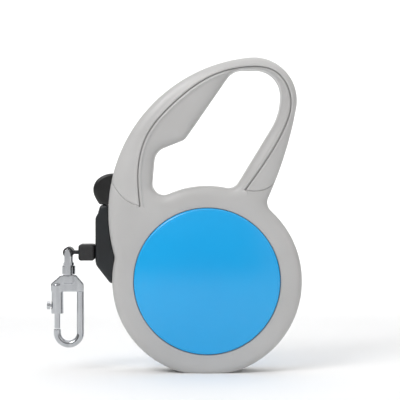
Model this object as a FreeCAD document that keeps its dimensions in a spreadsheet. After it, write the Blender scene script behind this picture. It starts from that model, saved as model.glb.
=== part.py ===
"""Retractable dog leash: casing with hand loop, spring reel, brake, tape, swivel bolt snap.

Frame: millimetres, +Z up, +X towards the back of the hand loop, the tape leaves towards -X,
y = 0 is the parting plane of the two shells, and the origin is on the resting face below the axle.
"""
import FreeCAD, Part
import Sketcher
import math
import os
from FreeCAD import Vector

doc = FreeCAD.newDocument("retractable_leash")

# ---------------------------------------------------------------- driving sizes
SIZES = [
    # casing and hand loop
    ("axle_height", 47.5, "reel axle above the resting face"),
    ("casing_radius", 49.0, "outer radius of the round casing"),
    ("side_room", 7.0, "edge of the tape to the gray frame's side face"),
    ("wall", 2.4, "side walls and edge walls of the shells"),
    ("edge_round", 3.6, "rounding of the frame's outer rims"),
    ("opening_round", 2.5, "rounding of the hand opening's rims"),
    ("corner_round", 6.0, "rounding where the loop meets the casing"),
    ("loop_rise", 44.0, "centre of the loop's top bend above the casing's top"),
    ("loop_shift", 24.0, "centre of the loop's top bend behind the axle"),
    ("loop_top_radius", 22.3, "outer radius of the top bend"),
    ("loop_back_radius", 200.0, "outer radius of the back arm"),
    ("arm_stand", 1.94, "front arm's outer edge in front of the casing's edge"),
    ("front_tangent", 95.3, "direction from the top bend's centre to where the front arm starts"),
    ("back_tangent", -10.4, "direction from the top bend's centre to where the back arm starts"),
    ("band_gap", 0.3, "visible gap along the grip band's edge"),
    # side covers
    ("cover_radius", 37.7, "blue side cover"),
    ("cover_gap", 0.3, "gap between cover and recess"),
    ("recess_depth", 1.2, "depth of the cover's recess"),
    ("cover_stand", 0.8, "cover rim above the side face"),
    ("cover_rise", 4.2, "cover crown above its rim"),
    ("cover_skin", 1.6, "cover thickness"),
    ("peg_inset", 7.7, "snap pegs from the cover's rim"),
    ("peg_radius", 1.4, "snap pegs"),
    # screws
    ("boss_radius", 3.2, "screw bosses"),
    ("boss_inset", 5.8, "casing bosses from the casing's edge"),
    ("screw_radius", 1.3, "case screw shank"),
    ("head_radius", 2.6, "case screw head"),
    ("head_sink", 0.1, "underside of the screw heads below the side wall's inner face"),
    # axle and reel
    ("axle_radius", 3.0, "reel axle"),
    ("axle_stand", 0.4, "axle end beyond the side face"),
    ("running_gap", 0.05, "radial clearance of turning pieces"),
    ("arbor_wall", 2.0, "spring arbor's wall on the axle"),
    ("arbor_slot", 0.8, "slot for the spring's inner end"),
    ("hub_radius", 19.0, "drum the tape is wound on"),
    ("hub_wall", 3.0, "drum wall round the spring cup"),
    ("channel_gap", 0.4, "clearance at each edge of the wound tape"),
    ("flange_skin", 1.5, "plain flange thickness"),
    ("flange_lip", 2.5, "plain flange beyond the wound tape"),
    ("ratchet_lip", 4.5, "ratchet flange beyond the wound tape"),
    ("ratchet_depth", 2.5, "depth of the ratchet gaps"),
    ("ratchet_skin", 3.0, "ratchet flange thickness"),
    ("ratchet_teeth", 20.0, "number of gaps"),
    ("ratchet_gap", 6.0, "width of a gap"),
    ("ratchet_phase", 118.0, "direction of the gap that the pawl enters"),
    ("spring_strip", 0.4, "mainspring thickness"),
    ("spring_pitch", 1.1, "mainspring turn to turn"),
    # tape
    ("tape_width", 10.0, "leash tape"),
    ("tape_thickness", 0.8, "leash tape"),
    ("roll_radius", 33.5, "wound tape, 3 m"),
    ("mouth_reach", 8.8, "face of the tape outlet in front of the casing"),
    ("tape_rise", 14.5, "tape in the outlet above the axle"),
    ("bend_reach", 2.0, "where the tape turns level, in front of the casing"),
    ("guide_radius", 1.5, "guide pins in the outlet"),
    # outlet
    ("nozzle_flank", 3.0, "side of the outlet beyond the tape's edge"),
    ("neck_flank", 2.0, "side of the outlet's neck beyond the tape's edge"),
    ("neck_low_rise", 8.5, "lower side of the neck above the axle"),
    ("neck_high_rise", 28.5, "upper side of the neck above the axle"),
    # brake
    ("pivot_inset", 5.5, "brake pivot behind the casing's front edge"),
    ("pivot_rise", 36.5, "brake pivot above the axle"),
    ("pivot_radius", 1.5, "brake pivot pin"),
    ("pivot_sink", 1.0, "end of the pivot pin below the side face"),
    ("rocker_hub", 3.6, "rocker hub radius"),
    ("press_angle", 7.5, "brake travel"),
    ("button_half", 7.4, "half of the thumb button's width"),
    ("button_gap", 0.5, "clearance of the thumb button in its slot"),
    ("stem_half", 5.0, "half of the rocker's stem"),
    ("lock_travel", 2.5, "button slide that locks the brake"),
    # tape end and bolt snap
    ("lead_length", 14.2, "outlet's face to the bar of the swivel eye"),
    ("bar_radius", 1.6, "bar of the swivel eye"),
    ("eye_flank", 4.2, "side of the eye beyond the tape's edge"),
    ("swivel_radius", 1.8, "swivel rivet"),
    ("hook_drop", 42.0, "bar of the swivel eye down to the centre of the hook's bend"),
    ("hook_reach", 6.0, "centre of the hook's bend to its section"),
    ("hook_section", 1.9, "hook section radius"),
    ("tube_radius", 3.2, "bolt tube"),
    ("bolt_radius", 1.5, "snap bolt"),
    ("bolt_travel", 5.5, "snap bolt travel"),
]

# sizes that follow from those above
DERIVED = [
    ("half_depth", "tape_width / 2 + side_room", "half of the gray frame's depth"),
    ("loop_height", "casing_radius + loop_rise", "centre of the top bend above the axle"),
    ("lean", "cos(front_tangent * 1 deg)", "lean of the front arm's start"),
    (
        "loop_front_radius",
        "(casing_radius + arm_stand + loop_shift + loop_top_radius * lean) / (1 + lean)",
        "outer radius of the front arm",
    ),
    ("cover_seat", "half_depth - recess_depth", "recess floor from the middle plane"),
    ("cover_edge", "half_depth + cover_stand", "cover rim from the middle plane"),
    ("cover_crown", "cover_edge + cover_rise", "cover crown from the middle plane"),
    ("peg_circle", "cover_radius - peg_inset", "snap pegs from the axle"),
    ("boss_circle", "casing_radius - boss_inset", "casing bosses from the axle"),
    ("head_seat", "half_depth - wall - head_sink", "underside of the screw heads"),
    ("axle_half", "half_depth + axle_stand", "half of the axle's length"),
    ("arbor_radius", "axle_radius + arbor_wall", "spring arbor"),
    ("hub_bore", "hub_radius - hub_wall", "spring cup inside the drum"),
    ("tape_channel", "tape_width / 2 + channel_gap", "flanges' inner faces from the middle plane"),
    ("front_flange_radius", "roll_radius + flange_lip", "plain flange"),
    ("ratchet_tip", "roll_radius + ratchet_lip", "ratchet flange"),
    ("ratchet_root", "ratchet_tip - ratchet_depth", "bottom of the ratchet gaps"),
    ("mouth_x", "-(casing_radius + mouth_reach)", "face of the tape outlet"),
    ("tape_height", "axle_height + tape_rise", "tape in the outlet above the resting face"),
    ("bend_x", "-(casing_radius + bend_reach)", "where the tape turns level"),
    ("nozzle_half", "tape_width / 2 + nozzle_flank", "half of the outlet's width"),
    ("neck_half", "tape_width / 2 + neck_flank", "half of the outlet's neck"),
    ("neck_low", "axle_height + neck_low_rise", "lower side of the neck"),
    ("neck_high", "axle_height + neck_high_rise", "upper side of the neck"),
    ("pivot_x", "-(casing_radius - pivot_inset)", "brake pivot"),
    ("pivot_height", "axle_height + pivot_rise", "brake pivot above the resting face"),
    ("pin_half", "half_depth - pivot_sink", "half of the pivot pin's length"),
    ("slot_half", "button_half + button_gap", "half of the button slot"),
    ("hook_x", "mouth_x - lead_length", "bar of the swivel eye and swivel axis"),
    ("eye_half", "tape_width / 2 + eye_flank", "half of the eye's width"),
    ("hook_bend_height", "tape_height - hook_drop", "centre of the hook's bend"),
]

sheet = doc.addObject("Spreadsheet::Sheet", "Sizes")
rows = [(alias, repr(value), note) for alias, value, note in SIZES]
rows += [(alias, "=" + formula, note) for alias, formula, note in DERIVED]
for row, (alias, content, note) in enumerate(rows, start=1):
    sheet.set("A%d" % row, alias)
    sheet.set("B%d" % row, content)
    sheet.setAlias("B%d" % row, alias)
    sheet.set("C%d" % row, note)
doc.recompute()


def size(alias):
    """A driving size, read back from the sheet."""
    return float(getattr(sheet, alias))


# ---------------------------------------------------------------- helpers: parametric bodies
def new_body(label):
    body = doc.addObject("PartDesign::Body", label)
    body.Label = label
    return body


def sketch_on(body, role, name):
    """An empty sketch on one of the body's own origin planes."""
    sketch = body.newObject("Sketcher::SketchObject", name)
    plane = next(f for f in body.Origin.OriginFeatures if f.Role == role)
    sketch.AttachmentSupport = (plane, [""])
    sketch.MapMode = "FlatFace"
    return sketch


def value_of(expression):
    return float(sheet.evalExpression(expression.replace("Sizes.", "")))


def draw(sketch, corners):
    """A closed outline; a corner is (x, y) or (x, y, radius) where an arc leads to the next corner."""
    points = [Vector(value_of(c[0]), value_of(c[1]), 0) for c in corners]
    count = len(points)
    for i, corner in enumerate(corners):
        start, end = points[i], points[(i + 1) % count]
        if len(corner) == 3:
            chord = end - start
            radius = value_of(corner[2])
            side = Vector(-chord.y, chord.x, 0).normalize()
            centre = start + chord * 0.5 - side * math.sqrt(radius ** 2 - (chord.Length / 2) ** 2)
            middle = centre + side * radius
            sketch.addGeometry(Part.Arc(start, middle, end), False)
        else:
            sketch.addGeometry(Part.LineSegment(start, end), False)
    ends = []
    for i in range(count):
        first = sketch.getPoint(i, 1)
        ends.append((1, 2) if first.distanceToPoint(points[i]) < 1e-6 else (2, 1))
    for i, corner in enumerate(corners):
        following = (i + 1) % count
        meeting = Sketcher.Constraint("Coincident", i, ends[i][1], following, ends[following][0])
        sketch.addConstraint(meeting)
        levels = (("DistanceX", corner[0], points[i].x), ("DistanceY", corner[1], points[i].y))
        for kind, expression, level in levels:
            index = sketch.addConstraint(Sketcher.Constraint(kind, -1, 1, i, ends[i][0], level))
            sketch.setExpression("Constraints[%d]" % index, expression)
        if len(corner) == 3:
            index = sketch.addConstraint(Sketcher.Constraint("Radius", i, value_of(corner[2])))
            sketch.setExpression("Constraints[%d]" % index, corner[2])


def place(body, x, z):
    """Puts a body's own origin at x, z; both are expressions in the sheet's sizes."""
    body.setExpression("Placement.Base.x", x)
    body.setExpression("Placement.Base.z", z)


def turned(label, corners, x="0 mm", z="Sizes.axle_height * 1 mm"):
    """A piece turned about an axis along Y; a corner is (radius, y)."""
    body = new_body(label)
    sketch = sketch_on(body, "XY_Plane", label + "_profile")
    draw(sketch, corners)
    revolution = body.newObject("PartDesign::Revolution", label + "_turn")
    revolution.Profile = sketch
    revolution.ReferenceAxis = (sketch, ["V_Axis"])
    revolution.Angle = 360
    place(body, x, z)
    doc.recompute()
    return body


def draw_circle(sketch, x, y, radius):
    middle = Vector(value_of(x), value_of(y), 0)
    index = sketch.addGeometry(Part.Circle(middle, Vector(0, 0, 1), value_of(radius)), False)
    for kind, expression in (("DistanceX", x), ("DistanceY", y)):
        number = sketch.addConstraint(Sketcher.Constraint(kind, -1, 1, index, 3, value_of(expression)))
        sketch.setExpression("Constraints[%d]" % number, expression)
    number = sketch.addConstraint(Sketcher.Constraint("Radius", index, value_of(radius)))
    sketch.setExpression("Constraints[%d]" % number, radius)


def cut_along_y(body, name, outline, start, length, count):
    """Pockets of one outline, from y = start by a length towards +Y, repeated about the Y axis."""
    before = body.Shape.Volume
    feature = flat_feature(body, "PartDesign::Pocket", name, outline, start, length)
    finish_round(body, feature, count)
    if body.Shape.Volume > before - 0.5:
        raise RuntimeError("%s cuts nothing" % name)


def add_along_y(body, name, outline, start, length, count, towards):
    """Pads of one outline, from y = start, towards +Y (1) or -Y (-1), repeated about the Y axis."""
    before = body.Shape.Volume
    feature = flat_feature(body, "PartDesign::Pad", name, outline, start, length)
    feature.Reversed = towards > 0
    finish_round(body, feature, count)
    if body.Shape.Volume < before + 0.5:
        raise RuntimeError("%s adds nothing" % name)


def flat_feature(body, kind, name, outline, start, length):
    """A pocket or pad of a circle (x, z, radius) or of a closed outline drawn at y = start."""
    sketch = sketch_on(body, "XZ_Plane", name + "_profile")
    if isinstance(outline, tuple):
        draw_circle(sketch, *outline)
    else:
        draw(sketch, outline)
    sketch.setExpression("AttachmentOffset.Base.z", "-(%s) * 1 mm" % start)
    feature = body.newObject(kind, name)
    feature.Profile = sketch
    feature.setExpression("Length", length)
    return feature


def finish_round(body, feature, count):
    """Repeats a feature about the body's Y axis when there is more than one."""
    doc.recompute()
    if count != "1":
        pattern = body.newObject("PartDesign::PolarPattern", feature.Name + "_round")
        pattern.Originals = [feature]
        axis = next(f for f in body.Origin.OriginFeatures if f.Role == "Y_Axis")
        pattern.Axis = (axis, [""])
        pattern.Angle = 360
        pattern.setExpression("Occurrences", count)
        body.Tip = pattern
        doc.recompute()


# ---------------------------------------------------------------- helpers: plain shapes
HALF = size("half_depth")
WALL = size("wall")
INNER = HALF - WALL
AXLE = size("axle_height")
FAR = 400.0


def xz(x, z):
    return Vector(x, 0, z)


def polar(centre, radius, degrees):
    angle = math.radians(degrees)
    return xz(centre.x + radius * math.cos(angle), centre.z + radius * math.sin(angle))


def slab(face, low, high):
    """A face of the XZ plane, drawn out from y = low to y = high."""
    moved = face.copy()
    moved.translate(Vector(0, low, 0))
    return moved.extrude(Vector(0, high - low, 0))


def block(x0, x1, y0, y1, z0, z1):
    return Part.makeBox(x1 - x0, y1 - y0, z1 - z0, Vector(x0, y0, z0))


def rod_y(radius, low, high, x, z):
    return Part.makeCylinder(radius, high - low, Vector(x, low, z), Vector(0, 1, 0))


def rod_z(radius, low, high, x, y=0.0):
    return Part.makeCylinder(radius, high - low, Vector(x, y, low), Vector(0, 0, 1))


def disc(radius):
    circle = Part.Circle(xz(0, AXLE), Vector(0, 1, 0), radius)
    return Part.Face(Part.Wire(circle.toShape()))


def rounded_face(corners):
    """A closed outline of straight sides with a tangent arc at each corner (x, z, radius)."""
    count = len(corners)
    points = [xz(c[0], c[1]) for c in corners]
    arcs = []
    for i, (_, _, radius) in enumerate(corners):
        before = (points[i - 1] - points[i]).normalize()
        after = (points[(i + 1) % count] - points[i]).normalize()
        half_angle = before.getAngle(after) / 2
        inwards = (before + after).normalize()
        run = radius / math.tan(half_angle)
        middle = points[i] + inwards * (radius / math.sin(half_angle) - radius)
        arcs.append((points[i] + before * run, middle, points[i] + after * run))
    edges = []
    for i, (start, middle, end) in enumerate(arcs):
        edges.append(Part.Arc(start, middle, end).toShape())
        edges.append(Part.LineSegment(end, arcs[(i + 1) % count][0]).toShape())
    return Part.Face(Part.Wire(edges))


def spline(points):
    curve = Part.BSplineCurve()
    curve.interpolate([xz(x, z) for x, z in points])
    return curve.toShape()


def polygon(points):
    return Part.Face(Part.makePolygon([xz(x, z) for x, z in points] + [xz(*points[0])]))


def add_piece(label, shape, placement=None):
    """A piece made with Part's own functions, as one object of the document."""
    feature = doc.addObject("Part::Feature", label)
    feature.Label = label
    feature.Shape = shape
    feature.Placement = placement or FreeCAD.Placement()
    return feature


# ---------------------------------------------------------------- outlines of the frame
LOOP_TOP = xz(size("loop_shift"), AXLE + size("loop_height"))
FRONT_TANGENT = size("front_tangent")
BACK_TANGENT = size("back_tangent")
CASING = size("casing_radius")
# the styling below is drawn for these sizes, and follows when they change
DRAWN_RADIUS = 49.0
DRAWN_RISE = 44.0
DRAWN_SHIFT = 24.0
# both arms run on into the casing, to these levels above the axle
FRONT_ARM_END = 0.0
BACK_ARM_END = 0.6 * CASING


def styled(x, z):
    """A styling point, given from the axle, carried along with the casing and the loop's top bend."""
    grown = CASING / DRAWN_RADIUS
    level = min(max((z - DRAWN_RADIUS) / DRAWN_RISE, 0.0), 1.0)
    moved_x = x * (1 + (grown - 1) * (1 - level)) + (size("loop_shift") - DRAWN_SHIFT) * level
    if z <= DRAWN_RADIUS:
        return moved_x, AXLE + z * grown
    above_bend = max(z - DRAWN_RADIUS - DRAWN_RISE, 0.0)
    return moved_x, AXLE + CASING + size("loop_rise") * level + above_bend


def loop_face(inset):
    """The loop's outer edge as three tangent arcs, closed through the axle."""
    top_radius = size("loop_top_radius")
    front_radius = size("loop_front_radius")
    back_radius = size("loop_back_radius")
    front_centre = polar(LOOP_TOP, top_radius - front_radius, FRONT_TANGENT)
    back_centre = polar(LOOP_TOP, top_radius - back_radius, BACK_TANGENT)
    front_start = 180 - math.degrees(math.asin((AXLE + FRONT_ARM_END - front_centre.z) / front_radius))
    back_end = math.degrees(math.asin((AXLE + BACK_ARM_END - back_centre.z) / back_radius))
    spans = [
        (front_centre, front_radius - inset, front_start, FRONT_TANGENT),
        (LOOP_TOP, top_radius - inset, FRONT_TANGENT, BACK_TANGENT),
        (back_centre, back_radius - inset, BACK_TANGENT, back_end),
    ]
    edges = []
    for centre, radius, start, end in spans:
        points = [polar(centre, radius, start + (end - start) * share) for share in (0, 0.5, 1)]
        edges.append(Part.Arc(*points).toShape())
    first = polar(front_centre, front_radius - inset, front_start)
    last = polar(back_centre, back_radius - inset, back_end)
    edges.append(Part.LineSegment(last, xz(0, AXLE)).toShape())
    edges.append(Part.LineSegment(xz(0, AXLE), first).toShape())
    return Part.Face(Part.Wire(edges))


# corners of the hand opening, from the axle: finger bump, top, back arm, casing, finger notch
OPENING_CORNERS = [
    (-11.5, 73.0, 5.0),
    (13.5, 109.1, 10.0),
    (38.5, 109.0, 13.0),
    (37.9, 86.0, 30.0),
    (9.55, 39.5, 1.0),
    (-30.1, 33.0, 1.0),
    (-27.0, 66.8, 8.0),
]


def opening_face(outset):
    face = rounded_face([styled(x, z) + (radius,) for x, z, radius in OPENING_CORNERS])
    if outset:
        face = face.makeOffset2D(outset)
    return face.cut(disc(CASING - outset)).Faces[0]


# the groove between the grip band and the shells, from the front seam round to the back seam
FRONT_SEAM = [
    styled(x, z)
    for x, z in [(-52.5, 58.0), (-48.3, 49.9), (-45.4, 45.6), (-41.4, 41.7), (-34.4, 38.7)]
]
GROOVE = [
    styled(x, z)
    for x, z in [
        (-34.4, 38.7), (-35.4, 56.5), (-31.0, 74.5), (-18.0, 90.7), (3.0, 105.7), (20.0, 110.1),
        (35.0, 107.7), (42.8, 94.5), (38.8, 77.0), (29.0, 60.3), (19.6, 47.0),
    ]
]
BACK_SEAM = [
    styled(x, z)
    for x, z in [(19.6, 47.0), (26.0, 46.5), (30.1, 47.5), (33.4, 49.7), (37.5, 53.5)]
]


def moved_outwards(points, distance):
    """The groove's points, moved square to the groove and away from the hand opening."""
    result = []
    for i, point in enumerate(points):
        before, after = points[max(i - 1, 0)], points[min(i + 1, len(points) - 1)]
        length = math.hypot(after[0] - before[0], after[1] - before[1])
        across = ((before[1] - after[1]) / length, (after[0] - before[0]) / length)
        result.append((point[0] + across[0] * distance, point[1] + across[1] * distance))
    return result


def band_face(gap):
    """Everything outside the groove, between the two seams, less a gap along the groove."""
    groove = moved_outwards(GROOVE, gap)
    outside = [
        BACK_SEAM[-1], (FAR, BACK_SEAM[-1][1]), (FAR, FAR), (-FAR, FAR), (-FAR, FRONT_SEAM[0][1]),
        FRONT_SEAM[0],
    ]
    edges = [spline(FRONT_SEAM[:-1] + groove[:1]), spline(groove), spline(groove[-1:] + BACK_SEAM[1:])]
    for start, end in zip(outside, outside[1:]):
        edges.append(Part.LineSegment(xz(*start), xz(*end)).toShape())
    return Part.Face(Part.Wire(Part.__sortEdges__(edges)))


def is_upright(edge):
    """True for an edge along Y where two faces meet at an angle."""
    a, b = edge.Vertexes[0].Point, edge.Vertexes[-1].Point
    return abs(a.x - b.x) < 1e-4 and abs(a.z - b.z) < 1e-4 and abs(a.y - b.y) > 1.0


def meets_at_angle(solid, edge):
    normals = []
    for face in solid.ancestorsOfType(edge, Part.Face):
        u, v = face.Surface.parameter(edge.Vertexes[0].Point)
        normals.append(face.normalAt(u, v))
    return len(normals) == 2 and normals[0].getAngle(normals[1]) > math.radians(6)


def frame_solid():
    """Casing and hand loop as one solid with rounded rims, before it is parted into pieces."""
    region = disc(CASING).fuse(loop_face(0)).removeSplitter()
    region = region.cut(opening_face(0)).removeSplitter()
    solid = slab(region.Faces[0], -HALF, HALF)
    corners = [e for e in solid.Edges if is_upright(e) and meets_at_angle(solid, e)]
    solid = solid.makeFillet(size("corner_round"), corners)
    for side in (-1, 1):
        solid = solid.makeFillet(size("edge_round"), flat_face(solid, side).OuterWire.Edges)
    for side in (-1, 1):
        face = flat_face(solid, side)
        inner = [w for w in face.Wires if not w.isSame(face.OuterWire)][0]
        solid = solid.makeFillet(size("opening_round"), inner.Edges)
    return solid.cut(block(-FAR, FAR, -FAR, FAR, -FAR, 0))


def flat_face(solid, side):
    """The frame's flat front (-1) or rear (1) face."""
    return next(f for f in solid.Faces if abs(f.CenterOfMass.y - side * HALF) < 1e-4)


FRAME = frame_solid()
VOID = slab(loop_face(WALL).fuse(disc(CASING - WALL)).removeSplitter().Faces[0], -INNER, INNER)
VOID = VOID.cut(slab(opening_face(WALL), -HALF, HALF))
BAND = slab(band_face(0), -HALF, HALF)
BAND_INSET = slab(band_face(size("band_gap")), -HALF, HALF)

# ---------------------------------------------------------------- shells
FIT = 0.1
PIVOT = xz(size("pivot_x"), size("pivot_height"))
# the inner face of the outlet's flange and of the button slot, and the outlet's neck in front of the edge
FLANGE_REACH = 5.8
FLANGE_SKIN = 1.5
NECK_STAND = 2.5
SLOT_LOW, SLOT_HIGH = PIVOT.z + 1.0, PIVOT.z + 20.5 + size("lock_travel")
NECK_HALF = size("neck_half")
NECK_LOW, NECK_HIGH = size("neck_low"), size("neck_high")
BUTTON_SLOT = block(
    -FAR, PIVOT.x + 0.6, -size("slot_half"), size("slot_half"), SLOT_LOW, SLOT_HIGH)
NECK_WINDOW = block(
    -CASING - NECK_STAND - 1.5, -CASING + FLANGE_REACH + 0.2, -NECK_HALF - FIT, NECK_HALF + FIT,
    NECK_LOW - FIT, NECK_HIGH + FIT)
BOSS_DIRECTIONS = (-55, -125, 25)
SCREW_PLACES = [polar(xz(0, AXLE), size("boss_circle"), d) for d in BOSS_DIRECTIONS]
SCREW_PLACES += [xz(*styled(-16.7, 80.0)), xz(*styled(23.5, 43.0))]
AXLE_BOSS = 6.0
PEG_DIRECTIONS = (90, 210, 330)
PEG_PLACES = [polar(xz(0, AXLE), size("peg_circle"), d) for d in PEG_DIRECTIONS]
SCREW_TIP = INNER - 3.6
PIN_HALF = size("pin_half")


def shell(side):
    """One shell: side is -1 for the front half and 1 for the rear half."""
    def rod(radius, inside, outside, x, z):
        low, high = sorted((side * inside, side * outside))
        return rod_y(radius, low, high, x, z)

    half = block(-FAR, FAR, min(0, side * FAR), max(0, side * FAR), -FAR, FAR)
    shape = FRAME.common(half).cut(BAND).cut(VOID)
    bosses = [rod(size("boss_radius"), 0, INNER + 0.5, p.x, p.z) for p in SCREW_PLACES]
    bosses.append(rod(AXLE_BOSS, INNER, size("axle_half") + 1.0, 0, AXLE))
    recess = rod(size("cover_radius") + size("cover_gap"), size("cover_seat"), HALF + 1, 0, AXLE)
    shape = shape.cut(recess).fuse(bosses)
    holes = [rod(size("axle_radius") + 0.02, 0, size("axle_half") + 0.1, 0, AXLE)]
    holes += [rod(size("peg_radius") + FIT, 0, HALF, p.x, p.z) for p in PEG_PLACES]
    holes.append(rod(size("pivot_radius") + 0.02, 0, PIN_HALF + 0.1, size("pivot_x"), size("pivot_height")))
    for p in SCREW_PLACES:
        if side > 0:
            holes.append(rod(size("screw_radius") + 0.3, -1, HALF, p.x, p.z))
            holes.append(rod(size("head_radius") + 0.3, size("head_seat"), HALF + 1, p.x, p.z))
        else:
            holes.append(rod(size("screw_radius") + 0.05, -1, SCREW_TIP + 1, p.x, p.z))
    return shape.cut(holes + [BUTTON_SLOT, NECK_WINDOW]).removeSplitter()


add_piece("front_shell", shell(-1))
add_piece("rear_shell", shell(1))

# the rib inside the band is the brake spring's seat
RIB_X = PIVOT.x + 6.0
RIB_SKIN = 1.6
SPRING_LEVEL = PIVOT.z + 10.0
RIB_HALF = 3.5
band = FRAME.common(BAND_INSET).cut(VOID).cut(BUTTON_SLOT)
rib = block(
    RIB_X, RIB_X + RIB_SKIN, -INNER - 0.5, INNER + 0.5,
    SPRING_LEVEL - RIB_HALF, SPRING_LEVEL + RIB_HALF)
add_piece("grip_band", band.fuse(rib.common(BAND_INSET)).removeSplitter())


HEAD_HEIGHT = 1.9
CROSS_DEPTH = 1.0
CROSS_LONG, CROSS_THIN = 1.5, 0.3


def case_screw(at):
    """A pan-head screw with a cross slot, from the rear side."""
    seat = size("head_seat")
    head = rod_y(size("head_radius"), seat, seat + HEAD_HEIGHT, at.x, at.z)
    shank = rod_y(size("screw_radius"), -SCREW_TIP, seat, at.x, at.z)
    slots = [
        block(at.x - a, at.x + a, seat + HEAD_HEIGHT - CROSS_DEPTH, HALF, at.z - b, at.z + b)
        for a, b in ((CROSS_LONG, CROSS_THIN), (CROSS_THIN, CROSS_LONG))
    ]
    return head.fuse(shank).cut(slots)


add_piece("case_screws", Part.makeCompound([case_screw(p) for p in SCREW_PLACES]))

# ---------------------------------------------------------------- side covers
CROWN_RISE = "(Sizes.cover_crown - Sizes.cover_edge)"
CROWN_BULGE = "(Sizes.cover_radius^2 + %s^2) / (2 * %s)" % (CROWN_RISE, CROWN_RISE)


def cover(label, side):
    """Domed cover with a rim in the shell's recess and snap pegs through the side wall."""
    sign = "" if side > 0 else "-"
    rim = "Sizes.cover_radius - Sizes.cover_skin"
    corners = [
        ("0", sign + "Sizes.cover_crown"),
        ("Sizes.cover_radius", sign + "Sizes.cover_edge"),
        ("Sizes.cover_radius", sign + "(Sizes.cover_seat + 0.1)"),
        (rim, sign + "(Sizes.cover_seat + 0.1)"),
        (rim, sign + "(Sizes.cover_edge - Sizes.cover_skin)"),
        ("0", sign + "(Sizes.cover_crown - Sizes.cover_skin)"),
    ]
    if side > 0:
        corners[0] += (CROWN_BULGE,)
    else:
        corners.reverse()
        corners[4] += (CROWN_BULGE,)
    body = turned(label, corners)
    inner = "Sizes.half_depth - Sizes.wall + 0.1"
    add_along_y(
        body, label + "_pegs", ("0", "Sizes.peg_circle", "Sizes.peg_radius"), sign + "(%s)" % inner,
        "(Sizes.cover_edge - 0.5 - (%s)) * 1 mm" % inner, "3", side)


cover("front_cover", -1)
cover("rear_cover", 1)

# ---------------------------------------------------------------- axle, arbor, washer
BORE = "Sizes.axle_radius + Sizes.running_gap"
INNER_EXPR = "(Sizes.half_depth - Sizes.wall)"
turned("reel_axle", [
    ("0", "-Sizes.axle_half"), ("Sizes.axle_radius", "-Sizes.axle_half"),
    ("Sizes.axle_radius", "Sizes.axle_half"), ("0", "Sizes.axle_half")])
CUP_FLOOR = "(Sizes.tape_channel - 1.4)"
arbor = turned("spring_arbor", [
    ("Sizes.axle_radius + 0.02", "-(%s - 0.1)" % INNER_EXPR),
    ("Sizes.arbor_radius", "-(%s - 0.1)" % INNER_EXPR),
    ("Sizes.arbor_radius", CUP_FLOOR + " - 0.4"),
    ("Sizes.axle_radius + 0.02", CUP_FLOOR + " - 0.4")])
cut_along_y(
    arbor, "arbor_slot", [
        ("-Sizes.arbor_slot / 2", "Sizes.axle_radius + 0.4"),
        ("Sizes.arbor_slot / 2", "Sizes.axle_radius + 0.4"),
        ("Sizes.arbor_slot / 2", "Sizes.arbor_radius + 1"),
        ("-Sizes.arbor_slot / 2", "Sizes.arbor_radius + 1")],
    "-(Sizes.tape_channel + 1.1)", "(2 * Sizes.tape_channel + 1.2) * 1 mm", "1")
BOSS_END = "(%s - 0.6)" % INNER_EXPR
turned("axle_washer", [
    ("Sizes.axle_radius + 0.1", BOSS_END + " + 0.05"), ("Sizes.axle_radius + 3", BOSS_END + " + 0.05"),
    ("Sizes.axle_radius + 3", INNER_EXPR + " - 0.1"), ("Sizes.axle_radius + 0.1", INNER_EXPR + " - 0.1")])

# ---------------------------------------------------------------- reel
FRONT_FACE = "-(Sizes.tape_channel + Sizes.flange_skin)"
REAR_FACE = "(Sizes.tape_channel + Sizes.ratchet_skin)"
SCREW_RING = "(Sizes.hub_radius + Sizes.hub_bore) / 2"
drum = turned("reel_drum", [
    (BORE, CUP_FLOOR), ("Sizes.hub_bore", CUP_FLOOR), ("Sizes.hub_bore", FRONT_FACE),
    ("Sizes.front_flange_radius", FRONT_FACE), ("Sizes.front_flange_radius", "-Sizes.tape_channel"),
    ("Sizes.hub_radius", "-Sizes.tape_channel"), ("Sizes.hub_radius", "Sizes.tape_channel"),
    ("Sizes.ratchet_tip", "Sizes.tape_channel"), ("Sizes.ratchet_tip", REAR_FACE),
    ("Sizes.axle_radius + 3", REAR_FACE), ("Sizes.axle_radius + 3", BOSS_END), (BORE, BOSS_END)])
TURN_GAP = "Sizes.ratchet_phase * 1 deg"


def gap_corner(radius, offset):
    """A corner of the ratchet gap, set out along and across its direction."""
    along = "(%s) * cos(%s)" % (radius, TURN_GAP)
    across = "(%s) * sin(%s)" % (radius, TURN_GAP)
    return (
        "%s - (%s) * sin(%s)" % (along, offset, TURN_GAP),
        "%s + (%s) * cos(%s)" % (across, offset, TURN_GAP),
    )


HALF_GAP = "Sizes.ratchet_gap / 2"
cut_along_y(
    drum, "ratchet_gap", [
        gap_corner("Sizes.ratchet_root", "-(%s) * 0.85" % HALF_GAP),
        gap_corner("Sizes.ratchet_tip + 2", "-(%s)" % HALF_GAP),
        gap_corner("Sizes.ratchet_tip + 2", HALF_GAP),
        gap_corner("Sizes.ratchet_root", "(%s) * 0.85" % HALF_GAP)],
    "Sizes.tape_channel - 0.01", "(Sizes.ratchet_skin + 1) * 1 mm", "Sizes.ratchet_teeth")
cut_along_y(drum, "drum_pilot", ("0", SCREW_RING, "0.85"), FRONT_FACE, "4 mm", "3")

COVER_BACK = "(%s - 0.05)" % FRONT_FACE
COVER_FRONT = "(%s - 1.25)" % FRONT_FACE
spring_cover = turned("spring_cover", [
    ("Sizes.arbor_radius + 0.08", COVER_FRONT), ("Sizes.hub_radius + 1", COVER_FRONT),
    ("Sizes.hub_radius + 1", COVER_BACK), ("Sizes.arbor_radius + 0.08", COVER_BACK)])
cut_along_y(spring_cover, "cover_hole", ("0", SCREW_RING, "0.95"), COVER_FRONT + " - 0.1", "3 mm", "3")


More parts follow.
